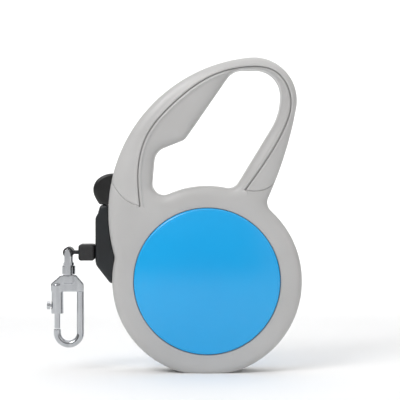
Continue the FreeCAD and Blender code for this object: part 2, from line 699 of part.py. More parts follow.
def spring_cover_screw(direction):
    ring = (size("hub_radius") + size("hub_bore")) / 2
    seat = -(size("tape_channel") + size("flange_skin")) - 1.25
    at = polar(xz(0, AXLE), ring, direction)
    return rod_y(1.5, seat - 0.9, seat, at.x, at.z).fuse(rod_y(0.8, seat, seat + 4.6, at.x, at.z))


add_piece("spring_cover_screws", Part.makeCompound([spring_cover_screw(d) for d in (90, 210, 330)]))

SPRING_FRONT, SPRING_REAR = 0.8, 2.2
SPRING_START = size("arbor_radius") + 0.9
SPRING_ROOM = size("hub_bore") - 0.3 - size("spring_strip") - SPRING_START
SPRING_HALF_TURNS = 2 * int(SPRING_ROOM / size("spring_pitch"))


def spiral_side(radius):
    """One side of the mainspring: half turns about two centres, half a pitch apart."""
    pitch = size("spring_pitch")
    edges = []
    for turn in range(SPRING_HALF_TURNS):
        centre = xz(pitch / 2 if turn % 2 else 0, AXLE)
        start = 180 * (turn % 2)
        reach = radius + turn * pitch / 2
        edges.append(Part.Arc(*[polar(centre, reach, start + step) for step in (0, 90, 180)]).toShape())
    return edges


def mainspring():
    inner = spiral_side(SPRING_START)
    outer = spiral_side(SPRING_START + size("spring_strip"))
    first, last = xz(SPRING_START, AXLE), inner[-1].Vertexes[-1].Point
    ends = [
        Part.LineSegment(first, first + xz(size("spring_strip"), 0)).toShape(),
        Part.LineSegment(last, outer[-1].Vertexes[-1].Point).toShape(),
    ]
    face = Part.Face(Part.Wire(Part.__sortEdges__(inner + outer + ends)))
    return slab(face, -size("tape_channel") - SPRING_FRONT, size("tape_channel") - SPRING_REAR)


add_piece("mainspring", mainspring())
turned("tape_roll", [
    ("Sizes.hub_radius + 0.05", "-Sizes.tape_width / 2"), ("Sizes.roll_radius", "-Sizes.tape_width / 2"),
    ("Sizes.roll_radius", "Sizes.tape_width / 2"), ("Sizes.hub_radius + 0.05", "Sizes.tape_width / 2")])

# ---------------------------------------------------------------- tape from the roll to the outlet
HALF_TAPE = size("tape_thickness") / 2
BEND = xz(size("bend_x"), size("tape_height"))
BEND_RADIUS = size("guide_radius") + 0.1 + HALF_TAPE
LEAVING_RADIUS = size("roll_radius") + HALF_TAPE + 0.2


def tape_directions():
    """The point where the tape leaves the roll, and the unit vector from the bend to it."""
    to_bend = BEND - xz(0, AXLE)
    bend_angle = math.degrees(math.atan2(to_bend.z, to_bend.x))
    spread = math.degrees(math.acos(LEAVING_RADIUS / to_bend.Length))
    leaving = polar(xz(0, AXLE), LEAVING_RADIUS, bend_angle - spread)
    return leaving, (leaving - BEND).normalize()


LEAVING, SLOPE = tape_directions()
TURN = math.atan2(SLOPE.z, SLOPE.x)
BEND_RUN = BEND_RADIUS * math.tan(TURN / 2)
BEND_CENTRE = xz(BEND.x - BEND_RUN, BEND.z + BEND_RADIUS)


def tape_run():
    normal = xz(-SLOPE.z, SLOPE.x)
    knee = BEND + SLOPE * BEND_RUN
    sides = []
    for offset in (HALF_TAPE, -HALF_TAPE):
        radius = BEND_RADIUS - offset
        level = xz(size("mouth_x"), BEND.z + offset)
        straight = xz(BEND_CENTRE.x, BEND.z + offset)
        middle = polar(BEND_CENTRE, radius, -90 + math.degrees(TURN) / 2)
        sides.append([
            Part.LineSegment(level, straight).toShape(),
            Part.Arc(straight, middle, knee + normal * offset).toShape(),
            Part.LineSegment(knee + normal * offset, LEAVING + normal * offset).toShape(),
        ])
    caps = [
        Part.LineSegment(sides[0][0].Vertexes[0].Point, sides[1][0].Vertexes[0].Point).toShape(),
        Part.LineSegment(LEAVING + normal * HALF_TAPE, LEAVING - normal * HALF_TAPE).toShape(),
    ]
    face = Part.Face(Part.Wire(Part.__sortEdges__(sides[0] + sides[1] + caps)))
    return slab(face, -size("tape_width") / 2, size("tape_width") / 2)


add_piece("tape_run", tape_run())

# ---------------------------------------------------------------- outlet
NOZZLE_TOP = PIVOT.z + 2.3
PIN_GAP = 0.1
LEVEL = size("tape_height")
LOW_PIN = xz(size("mouth_x") + 2.6, LEVEL - HALF_TAPE - PIN_GAP - size("guide_radius"))
PINS = [BEND_CENTRE, LOW_PIN]
PIN_REACH = size("neck_half")
RIM_ROUND = 1.5
CHANNEL_HALF = size("tape_width") / 2 + 0.75
SLIT = 1.2


def nozzle():
    """The black outlet: a block on the casing's edge, held by a neck and a flange inside."""
    half, face_x = size("nozzle_half"), size("mouth_x")
    hidden_x = -CASING + 11.0
    outline = rounded_face([
        (hidden_x, NOZZLE_TOP, 0.5), (face_x + 3.6, NOZZLE_TOP, 2.5), (face_x, NOZZLE_TOP - 6.3, 4.0),
        (face_x, NECK_LOW, 6.0), (-CASING - 1.0, NECK_LOW - 10.0, 3.0), (hidden_x, NECK_LOW - 10.0, 0.5)])
    outside = slab(outline, -half, half)

    def on_rim(edge):
        outside_casing = edge.CenterOfMass.x < hidden_x - 1
        return outside_casing and all(abs(abs(v.Point.y) - half) < 1e-4 for v in edge.Vertexes)

    rims = [e for e in outside.Edges if on_rim(e) and not is_upright(e)]
    outside = outside.makeFillet(RIM_ROUND, rims)
    silhouette = disc(CASING).fuse(loop_face(0)).removeSplitter()
    outside = outside.cut([slab(silhouette.Faces[0], -2 * HALF, 2 * HALF), FRAME])
    inner_x = -CASING + FLANGE_REACH
    neck = block(-CASING - NECK_STAND, inner_x, -NECK_HALF, NECK_HALF, NECK_LOW, NECK_HIGH)
    flange = block(
        inner_x - FLANGE_SKIN, inner_x, -half - 0.2, half + 0.2, NECK_LOW - 1.5, NECK_HIGH + 1.5)
    channel = slab(
        polygon([
            (inner_x + 0.3, LEVEL - SLIT), (inner_x + 0.3, LEVEL + 8.0), (-CASING, LEVEL + 5.2),
            (-CASING - 4.6, LEVEL + SLIT), (face_x - 1, LEVEL + SLIT), (face_x - 1, LEVEL - SLIT)]),
        -CHANNEL_HALF, CHANNEL_HALF)
    hole_radius, hole_end = size("guide_radius") + 0.02, PIN_REACH + 0.05
    holes = [rod_y(hole_radius, -hole_end, hole_end, p.x, p.z) for p in PINS]
    return outside.fuse([neck, flange]).cut([channel] + holes).removeSplitter()


add_piece("nozzle", nozzle())
guide_pins = [rod_y(size("guide_radius"), -PIN_REACH, PIN_REACH, p.x, p.z) for p in PINS]
add_piece("guide_pins", Part.makeCompound(guide_pins))

# ---------------------------------------------------------------- brake
PLATE_LOW = size("tape_channel") + 0.2
PLATE_HIGH = size("tape_channel") + size("ratchet_skin")
ARM_OUTER, ARM_INNER = size("ratchet_tip") + 7.4, size("ratchet_tip") + 3.4
ARM_DIRECTIONS = (134, 126, 119, 114)
TOOTH_TIP = size("ratchet_root") + 0.4
TOOTH_HALF = size("ratchet_gap") / 4
STEM_TOP = PIVOT.z + 15.0
# outlines in the plane of the casing, from the brake pivot
STEM = [(-2.7, 0.0), (-6.1, 4.0), (-5.7, 15.0), (-1.1, 15.0), (2.5, 0.0)]
LOBE = [(-12.1, 2.9), (-14.2, 6.2), (-15.4, 10.6), (-14.1, 14.8), (-10.3, 17.9), (-5.2, 19.0)]
LOBE_INNER = -3.0
LOBE_ROUND = 1.6
POCKET = (-6.5, 3.5)


def from_pivot(points):
    return [(PIVOT.x + x, PIVOT.z + z) for x, z in points]


def rocker():
    """Hub on the pivot pin, stem up to the thumb button, and a pawl arm beside the reel."""
    hub = rod_y(size("rocker_hub"), -INNER + 0.6, INNER - 0.6, PIVOT.x, PIVOT.z)
    stem = slab(polygon(from_pivot(STEM)), -size("stem_half"), size("stem_half"))
    centre = xz(0, AXLE)
    arm = [PIVOT + xz(-1.5, 2.3)] + [polar(centre, ARM_OUTER, d) for d in ARM_DIRECTIONS]
    arm += [polar(centre, ARM_INNER, d) for d in reversed(ARM_DIRECTIONS)] + [PIVOT + xz(2.0, -2.9)]
    plate = slab(polygon([(p.x, p.z) for p in arm]), PLATE_LOW, PLATE_HIGH)
    # the tooth is drawn where it locks, then turned back to rest
    phase = size("ratchet_phase")
    across = xz(-math.sin(math.radians(phase)), math.cos(math.radians(phase)))
    low, high = polar(centre, TOOTH_TIP, phase), polar(centre, ARM_INNER - 0.5, phase)
    tooth = [low - across * TOOTH_HALF * 0.8, high - across * TOOTH_HALF * 1.4]
    tooth += [high + across * TOOTH_HALF * 1.4, low + across * TOOTH_HALF * 0.8]
    tooth = slab(polygon([(p.x, p.z) for p in tooth]), PLATE_LOW, PLATE_HIGH)
    tooth.rotate(PIVOT, Vector(0, 1, 0), -size("press_angle"))
    shape = hub.fuse([stem, plate, tooth])
    bore = rod_y(size("pivot_radius") + size("running_gap"), -HALF, HALF, PIVOT.x, PIVOT.z)
    return shape.cut(bore).removeSplitter()


def thumb_button():
    """The thumb lobe, hollow underneath where it slides on the rocker's stem."""
    lobe = from_pivot(LOBE)
    inner_x = PIVOT.x + LOBE_INNER
    sides = [lobe[-1], (inner_x, lobe[-1][1]), (inner_x, lobe[0][1]), lobe[0]]
    edges = [spline(lobe)]
    edges += [Part.LineSegment(xz(*a), xz(*b)).toShape() for a, b in zip(sides, sides[1:])]
    face = Part.Face(Part.Wire(Part.__sortEdges__(edges)))
    half = size("button_half")
    solid = slab(face, -half, half)

    def on_lobe_rim(edge):
        middle = edge.CenterOfMass
        outside = middle.x < inner_x - 3.5 and middle.z > lobe[0][1] + 0.5
        return outside and abs(abs(middle.y) - half) < 1e-4

    solid = solid.makeFillet(LOBE_ROUND, [e for e in solid.Edges if on_lobe_rim(e)])
    pocket_half = size("stem_half") + 0.25
    start, end = PIVOT.x + POCKET[0], PIVOT.x + POCKET[1]
    return solid.cut(block(start, end, -pocket_half, pocket_half, PIVOT.z - 2, STEM_TOP + 0.3))


add_piece("brake_rocker", rocker())
add_piece("thumb_button", thumb_button())
turned("brake_pivot_pin", [
    ("0", "-Sizes.pin_half"), ("Sizes.pivot_radius", "-Sizes.pin_half"),
    ("Sizes.pivot_radius", "Sizes.pin_half"), ("0", "Sizes.pin_half")],
    "Sizes.pivot_x * 1 mm", "Sizes.pivot_height * 1 mm")


def coil(mean_radius, wire, length, turns):
    """A compression spring of round wire that stands on the origin along +Z, swept by quarter turns."""
    pitch = (length - wire) / turns
    path = []
    for quarter in range(4 * turns):
        helix = Part.makeHelix(pitch, pitch / 4, mean_radius)
        helix.rotate(Vector(), Vector(0, 0, 1), 90 * quarter)
        helix.translate(Vector(0, 0, wire / 2 + pitch / 4 * quarter))
        path += helix.Edges
    section = Part.Wire(Part.Circle(Vector(mean_radius, 0, wire / 2), Vector(0, 1, 0), wire / 2).toShape())
    return Part.Wire(path).makePipeShell([section], True, True)


SPRING_START_X = PIVOT.x + 0.9
ALONG_X = FreeCAD.Rotation(Vector(0, 0, 1), Vector(1, 0, 0))
add_piece(
    "brake_spring", coil(2.0, 0.5, RIB_X - FIT - SPRING_START_X, 4),
    FreeCAD.Placement(xz(SPRING_START_X, SPRING_LEVEL), ALONG_X))

# ---------------------------------------------------------------- tape end, stop sleeve and swivel eye
HOOK_X = size("hook_x")
TAPE_Z = size("tape_height")
LOOP_INNER = size("bar_radius") + 0.3
LOOP_OUTER = LOOP_INNER + size("tape_thickness")
EYE_BASE = TAPE_Z - 11.5
EYE_FLOOR = TAPE_Z - 7.0
HALF_WIDTH = size("tape_width") / 2


DOUBLE_END = size("mouth_x") - 2.7
SINGLE_END = size("mouth_x") - 0.3
SLEEVE_START, SLEEVE_END = size("mouth_x") - 8.8, size("mouth_x") - 0.4
SLEEVE_HALF = HALF_WIDTH + 2.2
SLEEVE_RISE = 4.2
SLEEVE_ROUND = 1.4


def tape_end():
    """The tape's sewn end: a loop round the eye's bar, and two layers as far as the stop sleeve."""
    loop = rod_y(LOOP_OUTER, -HALF_WIDTH, HALF_WIDTH, HOOK_X, TAPE_Z)
    double = block(
        HOOK_X, DOUBLE_END, -HALF_WIDTH, HALF_WIDTH, TAPE_Z - 2 * HALF_TAPE, TAPE_Z + 2 * HALF_TAPE)
    single = block(
        DOUBLE_END - 0.5, SINGLE_END, -HALF_WIDTH, HALF_WIDTH, TAPE_Z - HALF_TAPE, TAPE_Z + HALF_TAPE)
    hole = rod_y(LOOP_INNER, -HALF, HALF, HOOK_X, TAPE_Z)
    return loop.fuse([double, single]).cut(hole).removeSplitter()


def stop_sleeve():
    """The block that stops the tape's end at the outlet, closed round the two sewn layers."""
    solid = block(
        SLEEVE_START, SLEEVE_END, -SLEEVE_HALF, SLEEVE_HALF, TAPE_Z - SLEEVE_RISE, TAPE_Z + SLEEVE_RISE)
    solid = solid.makeFillet(SLEEVE_ROUND, solid.Edges)
    side, level = HALF_WIDTH + 0.05, 2 * HALF_TAPE + 0.05
    return solid.cut(block(SLEEVE_START - 1, SLEEVE_END + 1, -side, side, TAPE_Z - level, TAPE_Z + level))


def swivel_eye():
    """The wire frame the tape is sewn round, with a hub for the swivel rivet."""
    half, thick = size("eye_half"), size("bar_radius")
    bar = rod_y(thick, -half, half, HOOK_X, TAPE_Z)
    left, right = HOOK_X - thick, HOOK_X + thick
    legs = [
        block(left, right, low, high, EYE_BASE, TAPE_Z)
        for low, high in ((-half, -HALF_WIDTH - 1), (HALF_WIDTH + 1, half))
    ]
    base = block(left, right, -half, half, EYE_BASE, EYE_FLOOR)
    base = base.fuse(rod_z(size("swivel_radius") * 2, EYE_BASE, EYE_FLOOR, HOOK_X))
    frame_ring = bar.fuse(legs + [base]).removeSplitter()
    bore = size("swivel_radius") + size("running_gap")
    return frame_ring.cut(rod_z(bore, EYE_BASE - 1, EYE_FLOOR + 1, HOOK_X))


add_piece("tape_end", tape_end())
add_piece("stop_sleeve", stop_sleeve())
add_piece("swivel_eye", swivel_eye())

# ---------------------------------------------------------------- bolt snap
REACH = size("hook_reach")
SECTION = size("hook_section")
BEND_Z = size("hook_bend_height")
TIP_Z = BEND_Z + 1.9
TUBE_LOW, TUBE_HIGH = BEND_Z + 10.0, BEND_Z + 25.0
SHOULDER = EYE_BASE - 0.3
RIVET_LOW = SHOULDER - 4.2
BOLT_X = HOOK_X - REACH
BOLT_LOW = TIP_Z + 0.3
BOLT_HIGH = TUBE_LOW + 6.0
KNOB_Z = TUBE_LOW + 4.2
BORE_HIGH = TUBE_HIGH - 0.8


def hook_body():
    """Cast hook: shoulder below the swivel, spine, bend and tip, and the tube that guides the bolt."""
    ring = Part.makeTorus(REACH, SECTION, xz(HOOK_X, BEND_Z), Vector(0, 1, 0))
    bend = ring.common(block(HOOK_X - FAR, HOOK_X + FAR, -FAR, FAR, -FAR, BEND_Z))
    spine = rod_z(SECTION, BEND_Z, TUBE_HIGH, HOOK_X + REACH)
    tip = rod_z(SECTION, BEND_Z, TIP_Z, BOLT_X)
    tube = rod_z(size("tube_radius"), TUBE_LOW, TUBE_HIGH, BOLT_X)
    left, right = BOLT_X - size("tube_radius"), HOOK_X + REACH + SECTION
    shoulder = slab(
        rounded_face([
            (left, TUBE_HIGH - 3.5, 1.0), (left, TUBE_HIGH + 0.6, 2.0), (HOOK_X - 4.0, SHOULDER, 1.5),
            (HOOK_X + 4.0, SHOULDER, 1.5), (right, TUBE_HIGH + 0.6, 2.0), (right, TUBE_HIGH - 3.5, 1.0)]),
        -2.8, 2.8)
    collar = rod_z(4.0, RIVET_LOW, SHOULDER, HOOK_X)
    shape = bend.fuse([spine, tip, tube, shoulder, collar])
    cuts = [
        rod_z(size("bolt_radius") + size("running_gap"), TUBE_LOW - 1, BORE_HIGH, BOLT_X),
        rod_z(size("swivel_radius"), RIVET_LOW, SHOULDER + 1, HOOK_X),
        block(BOLT_X - 5, BOLT_X, -1.1, 1.1, KNOB_Z - 1.3, KNOB_Z + size("bolt_travel") + 1.3),
    ]
    return shape.cut(cuts).removeSplitter()


def swivel_rivet():
    shank = rod_z(size("swivel_radius"), RIVET_LOW, EYE_FLOOR + 0.2, HOOK_X)
    head = rod_z(size("swivel_radius") + 1.1, EYE_FLOOR + 0.2, EYE_FLOOR + 1.6, HOOK_X)
    return shank.fuse(head).removeSplitter()


def knob_stem(radius, start, end):
    return Part.makeCylinder(radius, start - end, Vector(start, 0, KNOB_Z), Vector(-1, 0, 0))


KNOB_STEM = 0.9
KNOB_RADIUS = 2.1
KNOB_START, KNOB_END = BOLT_X - 3.7, BOLT_X - 5.3
bolt = rod_z(size("bolt_radius"), BOLT_LOW, BOLT_HIGH, BOLT_X)
bolt = bolt.cut(knob_stem(KNOB_STEM, BOLT_X, KNOB_END))
knob = knob_stem(KNOB_STEM, BOLT_X, KNOB_START - 1.2)
knob = knob.fuse(knob_stem(KNOB_RADIUS, KNOB_START, KNOB_END)).removeSplitter()
add_piece("hook_body", hook_body())
add_piece("swivel_rivet", swivel_rivet())
add_piece("hook_bolt", bolt)
add_piece("bolt_knob", knob)
BOLT_SPRING_LENGTH = BORE_HIGH - BOLT_HIGH - 0.2
add_piece(
    "bolt_spring", coil(1.1, 0.35, BOLT_SPRING_LENGTH, 5),
    FreeCAD.Placement(xz(BOLT_X, BOLT_HIGH + 0.1), FreeCAD.Rotation()))

# ---------------------------------------------------------------- checks and files
doc.recompute()
pieces = [
    o for o in doc.Objects
    if o.TypeId in ("PartDesign::Body", "Part::Feature")
]
for item in doc.Objects:
    if "Invalid" in item.State or "Error" in item.State:
        raise RuntimeError("%s failed: %s" % (item.Label, item.State))
for piece in pieces:
    if piece.Shape.isNull() or not piece.Shape.isValid():
        raise RuntimeError("%s has no valid shape" % piece.Label)
    if not piece.Shape.Solids:
        raise RuntimeError("%s has no solid" % piece.Label)

os.makedirs("parts", exist_ok=True)
for piece in pieces:
    piece.Shape.exportStep(os.path.join("parts", piece.Label + ".step"))
    print("%-22s %d solid(s) %9.1f mm3" % (piece.Label, len(piece.Shape.Solids), piece.Shape.Volume))
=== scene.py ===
import math

import bmesh
import bpy
import numpy as np
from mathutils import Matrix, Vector
from mathutils.geometry import delaunay_2d_cdt


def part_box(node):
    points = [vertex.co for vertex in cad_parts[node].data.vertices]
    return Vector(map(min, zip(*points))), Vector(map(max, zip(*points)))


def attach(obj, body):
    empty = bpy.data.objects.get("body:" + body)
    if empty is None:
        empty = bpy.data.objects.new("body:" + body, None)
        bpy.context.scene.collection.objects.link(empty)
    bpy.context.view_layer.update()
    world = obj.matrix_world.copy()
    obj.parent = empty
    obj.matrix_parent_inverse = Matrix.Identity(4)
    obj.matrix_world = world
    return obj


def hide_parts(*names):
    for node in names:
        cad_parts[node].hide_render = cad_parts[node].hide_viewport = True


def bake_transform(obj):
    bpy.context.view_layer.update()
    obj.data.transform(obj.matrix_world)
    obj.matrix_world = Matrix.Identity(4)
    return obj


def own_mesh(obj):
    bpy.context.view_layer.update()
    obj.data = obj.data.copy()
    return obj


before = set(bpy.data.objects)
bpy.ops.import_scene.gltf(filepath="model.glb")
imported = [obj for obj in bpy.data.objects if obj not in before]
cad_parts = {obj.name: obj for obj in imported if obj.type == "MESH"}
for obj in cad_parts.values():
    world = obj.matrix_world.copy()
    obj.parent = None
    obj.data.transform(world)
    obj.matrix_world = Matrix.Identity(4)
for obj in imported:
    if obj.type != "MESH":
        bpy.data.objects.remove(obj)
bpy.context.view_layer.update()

# Lengths are in millimetres from the reel's axle until the last step, which puts them in metres.
MM = 0.001


def middle_of(node):
    low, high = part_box(node)
    return (low + high) / 2


def stand_in(piece, body, node):
    """The finished piece shows in the CAD node's place, on its body."""
    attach(piece, body)
    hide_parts(node)


AXLE = middle_of("reel_axle")


def add_object(name, data):
    made = bpy.data.objects.new(name, data)
    bpy.context.scene.collection.objects.link(made)
    return made


def turned_outwards(mesh):
    """The same mesh with every face turned outwards."""
    work = bmesh.new()
    work.from_mesh(mesh)
    bmesh.ops.recalc_face_normals(work, faces=work.faces[:])
    work.to_mesh(mesh)
    work.free()
    return mesh


def apply_modifiers(piece):
    """Puts the evaluated mesh in place of the piece's own and takes the modifiers off."""
    bpy.context.view_layer.update()
    evaluated = piece.evaluated_get(bpy.context.evaluated_depsgraph_get())
    finished = bpy.data.meshes.new_from_object(evaluated)
    piece.modifiers.clear()
    piece.data = finished


def in_metres(points):
    """Points (x, y, z) in millimetres from the axle, as metres in the row frame."""
    return np.asarray(points, float) * MM + np.array([AXLE.x, 0.0, AXLE.z])


def smoothstep(value, low, high):
    t = np.clip((value - low) / (high - low), 0.0, 1.0)
    return t * t * (3 - 2 * t)


# ---------------------------------------------------------------- colours and materials
def from_hex(text):
    """An sRGB hex colour as linear red, green, blue and alpha."""
    channels = [int(text[i : i + 2], 16) / 255 for i in (1, 3, 5)]
    return [c / 12.92 if c <= 0.04045 else ((c + 0.055) / 1.055) ** 2.4 for c in channels] + [1.0]


def add_node(tree, kind, settings=(), links=()):
    """Adds one node; a setting is a property of the node or an input, and a link feeds an input."""
    made = tree.nodes.new(kind)
    for name, value in dict(settings).items():
        if isinstance(name, str) and hasattr(made, name):
            setattr(made, name, value)
        else:
            made.inputs[name].default_value = value
    for name, source in dict(links).items():
        tree.links.new(source, made.inputs[name])
    return made


def new_material(name):
    made = bpy.data.materials.new(name)
    made.use_nodes = True
    made.node_tree.nodes.clear()
    return made, made.node_tree


def finish_material(tree, shader):
    add_node(tree, "ShaderNodeOutputMaterial", {}, {"Surface": shader.outputs[0]})


def two_tones(tree, field, dark, light, low=0.3, high=0.7):
    """A field from 0 to 1 as a colour between two close tones."""
    ramp = add_node(tree, "ShaderNodeValToRGB", {}, {"Fac": field})
    ramp.color_ramp.elements[0].position = low
    ramp.color_ramp.elements[0].color = from_hex(dark)
    ramp.color_ramp.elements[1].position = high
    ramp.color_ramp.elements[1].color = from_hex(light)
    return ramp.outputs["Color"]


def noise(tree, place, period_mm, detail=3.0, roughness=0.5):
    """Noise whose features are about period_mm across."""
    settings = {"Scale": 1 / (period_mm * MM), "Detail": detail, "Roughness": roughness}
    return add_node(tree, "ShaderNodeTexNoise", settings, {"Vector": place}).outputs["Fac"]


def moulded(
        name, dark, light, roughness, grain_mm, grain_depth_mm, cloud_mm, spread=0.06, coat=0.0):
    """Moulded plastic: a fine spark-eroded grain, faint cloudiness in the colour and in the gloss."""
    made, tree = new_material(name)
    place = add_node(tree, "ShaderNodeTexCoord").outputs["Object"]
    cloud = noise(tree, place, cloud_mm)
    grain = noise(tree, place, grain_mm, detail=2.0)
    bump = add_node(
        tree, "ShaderNodeBump", {"Strength": 0.5, "Distance": grain_depth_mm * MM}, {"Height": grain})
    gloss = add_node(
        tree, "ShaderNodeMapRange",
        {"From Min": 0.3, "From Max": 0.7, "To Min": roughness - spread, "To Max": roughness + spread},
        {"Value": noise(tree, place, cloud_mm / 4, detail=4.0)})
    shader = add_node(
        tree, "ShaderNodeBsdfPrincipled",
        {"IOR": 1.53, "Coat Weight": coat, "Coat Roughness": 0.15},
        {
            "Base Color": two_tones(tree, cloud, dark, light),
            "Roughness": gloss.outputs["Result"],
            "Normal": bump.outputs["Normal"],
        })
    finish_material(tree, shader)
    return made


def metal(name, dark, light, roughness, scratch_mm, scratch_depth_mm, spread=0.06):
    """Bare or plated metal: fine handling marks stretched one way, and slightly uneven gloss."""
    made, tree = new_material(name)
    place = add_node(tree, "ShaderNodeTexCoord").outputs["Object"]
    stretched = add_node(tree, "ShaderNodeMapping", {"Scale": (1.0, 1.0, 0.12)}, {"Vector": place})
    marks = noise(tree, stretched.outputs["Vector"], scratch_mm, detail=5.0)
    bump = add_node(
        tree, "ShaderNodeBump", {"Strength": 0.4, "Distance": scratch_depth_mm * MM}, {"Height": marks})
    gloss = add_node(
        tree, "ShaderNodeMapRange",
        {
            "From Min": 0.3,
            "From Max": 0.7,
            "To Min": max(roughness - spread, 0.03),
            "To Max": roughness + spread,
        },
        {"Value": noise(tree, place, scratch_mm * 6)})
    shader = add_node(
        tree, "ShaderNodeBsdfPrincipled", {"Metallic": 1.0},
        {
            "Base Color": two_tones(tree, marks, dark, light),
            "Roughness": gloss.outputs["Result"],
            "Normal": bump.outputs["Normal"],
        })
    finish_material(tree, shader)
    return made


def woven_tape(name, dark, light, rib_mm):
    """Flat woven nylon: ribs across the tape and warp threads along it, drawn coarse enough to show."""
    made, tree = new_material(name)
    place = add_node(tree, "ShaderNodeTexCoord").outputs["Object"]
    # a band texture of scale 1 repeats every 2 pi / 20 metres
    scale = 1 / (rib_mm * MM) / 20 * math.pi * 2
    ribs, threads = (
        add_node(
            tree, "ShaderNodeTexWave",
            {"wave_type": "BANDS", "bands_direction": way, "Scale": scale, "Distortion": waver},
            {"Vector": place})
        for way, waver in (("X", 0.4), ("Y", 0.3)))
    weave = add_node(
        tree, "ShaderNodeMath", {"operation": "MULTIPLY"},
        {0: ribs.outputs["Fac"], 1: threads.outputs["Fac"]})
    bump = add_node(
        tree, "ShaderNodeBump", {"Strength": 0.8, "Distance": 0.12 * MM}, {"Height": weave.outputs[0]})
    # the colour follows the weave's relief: painted shade in the hollows between threads and a painted
    # highlight on their crowns
    shader = add_node(
        tree, "ShaderNodeBsdfPrincipled",
        {"Roughness": 0.75, "IOR": 1.53, "Sheen Weight": 0.35, "Sheen Roughness": 0.4},
        {
            "Base Color": two_tones(tree, weave.outputs[0], dark, light, 0.1, 0.8),
            "Normal": bump.outputs["Normal"],
        })
    finish_material(tree, shader)
    return made


# light gray ABS with a satin spark-eroded finish: soft wide highlights, no mirror image
GRAY_ABS = moulded("satin_gray_abs", "#B3B2B1", "#BBBAB9", 0.40, 0.22, 0.010, 30.0)
# the grip band is the same resin, coloured a shade lighter: painted light, for the extra light the band
# catches
GRIP_ABS = moulded("satin_gray_abs_grip_band", "#B6B5B4", "#BFBEBD", 0.38, 0.22, 0.010, 26.0)
# polished blue ABS cap: even colour, a clear but soft reflection
BLUE_ABS = moulded("polished_blue_abs", "#00A3E5", "#00A7E8", 0.24, 0.5, 0.0008, 40.0, 0.02, 0.25)
# black ABS, satin: nearly black, with a narrow soft highlight on rounded rims
BLACK_ABS = moulded("satin_black_abs", "#060505", "#0B0A0A", 0.34, 0.25, 0.008, 12.0)
# navy-black ABS of the tape outlet
NAVY_ABS = moulded("satin_navy_black_abs", "#090E12", "#0F151A", 0.38, 0.25, 0.008, 12.0)
# natural acetal: off-white, waxy
ACETAL = moulded("natural_acetal", "#D8D5CB", "#E4E1D8", 0.42, 0.5, 0.006, 20.0)
# moulded rubber stop: dull black, slightly mottled
RUBBER = moulded("moulded_black_rubber", "#181819", "#212122", 0.62, 0.3, 0.02, 6.0)
# ground steel pins and axle
STEEL = metal("ground_steel", "#A9A9AA", "#BDBDBE", 0.26, 0.25, 0.004)
# zinc-plated screws: a touch yellow and duller than steel
ZINC = metal("zinc_plated_steel", "#A3A29B", "#B9B7AE", 0.34, 0.5, 0.006)
# blued spring steel: dark, smooth
BLUED = metal("blued_spring_steel", "#4C5057", "#636871", 0.30, 0.6, 0.004)
# chromed zinc casting: bright, with the casting's faint orange-peel
CHROME = metal("chromed_zinc_casting", "#B2B4B8", "#C0C2C5", 0.15, 1.6, 0.006, 0.03)
# black woven nylon tape, ribs 0.9 mm apart
NYLON = woven_tape("black_woven_nylon", "#141416", "#2B2B2F", 0.9)
# white polyester sewing thread: small pale marks that show the sewing
THREAD = moulded("white_polyester_thread", "#C9C9C6", "#DBDBD8", 0.6, 0.1, 0.01, 2.0)

NODE_FINISHES = {
    GRAY_ABS: ("front_shell", "rear_shell"),
    GRIP_ABS: ("grip_band",),
    BLUE_ABS: ("front_cover", "rear_cover"),
    BLACK_ABS: ("thumb_button",),
    NAVY_ABS: ("nozzle",),
    ACETAL: ("reel_drum", "spring_cover", "brake_rocker", "spring_arbor"),
    RUBBER: ("stop_sleeve",),
    STEEL: ("reel_axle", "brake_pivot_pin", "guide_pins", "axle_washer"),
    ZINC: ("case_screws", "spring_cover_screws"),
    BLUED: ("mainspring", "brake_spring", "bolt_spring"),
    CHROME: ("swivel_eye", "hook_body", "swivel_rivet", "hook_bolt", "bolt_knob"),
    NYLON: ("tape_roll", "tape_run", "tape_end"),
}
for finish, names in NODE_FINISHES.items():
    for name in names:
        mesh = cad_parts[name].data
        mesh.materials.clear()
        mesh.materials.append(finish)


# ---------------------------------------------------------------- outlines of the frame
def arc(centre, radius, start, end, step=0.9):
    """Points of an arc from start to end, in degrees."""
    count = max(2, int(abs(math.radians(end - start)) * radius / step) + 1)
    angles = np.radians(np.linspace(start, end, count))
    return [(centre[0] + radius * math.cos(a), centre[1] + radius * math.sin(a)) for a in angles]


def bearing(origin, point):
    return math.degrees(math.atan2(point[1] - origin[1], point[0] - origin[0]))


def circles_meet(first, first_radius, second, second_radius, side):
    """One of the two points where two circles cross; side is 1 or -1."""
    (ax, az), (bx, bz) = first, second
    gap = math.hypot(bx - ax, bz - az)
    along = (first_radius**2 - second_radius**2 + gap**2) / (2 * gap)
    across = math.sqrt(first_radius**2 - along**2) * side
    ux, uz = (bx - ax) / gap, (bz - az) / gap
    return ax + ux * along - uz * across, az + uz * along + ux * across


CASING_RADIUS = 49.0
CORNER_ROUND = 6.0
TOP_CENTRE, TOP_RADIUS = (24.0, 93.0), 22.3
FRONT_CENTRE, FRONT_RADIUS = (29.357, 35.248), 80.297
BACK_CENTRE, BACK_RADIUS = (-150.78, 125.08), 200.0
FRONT_TANGENT, BACK_TANGENT = 95.3, -10.4
HUB = (0.0, 0.0)
GROUND = -AXLE.z / MM


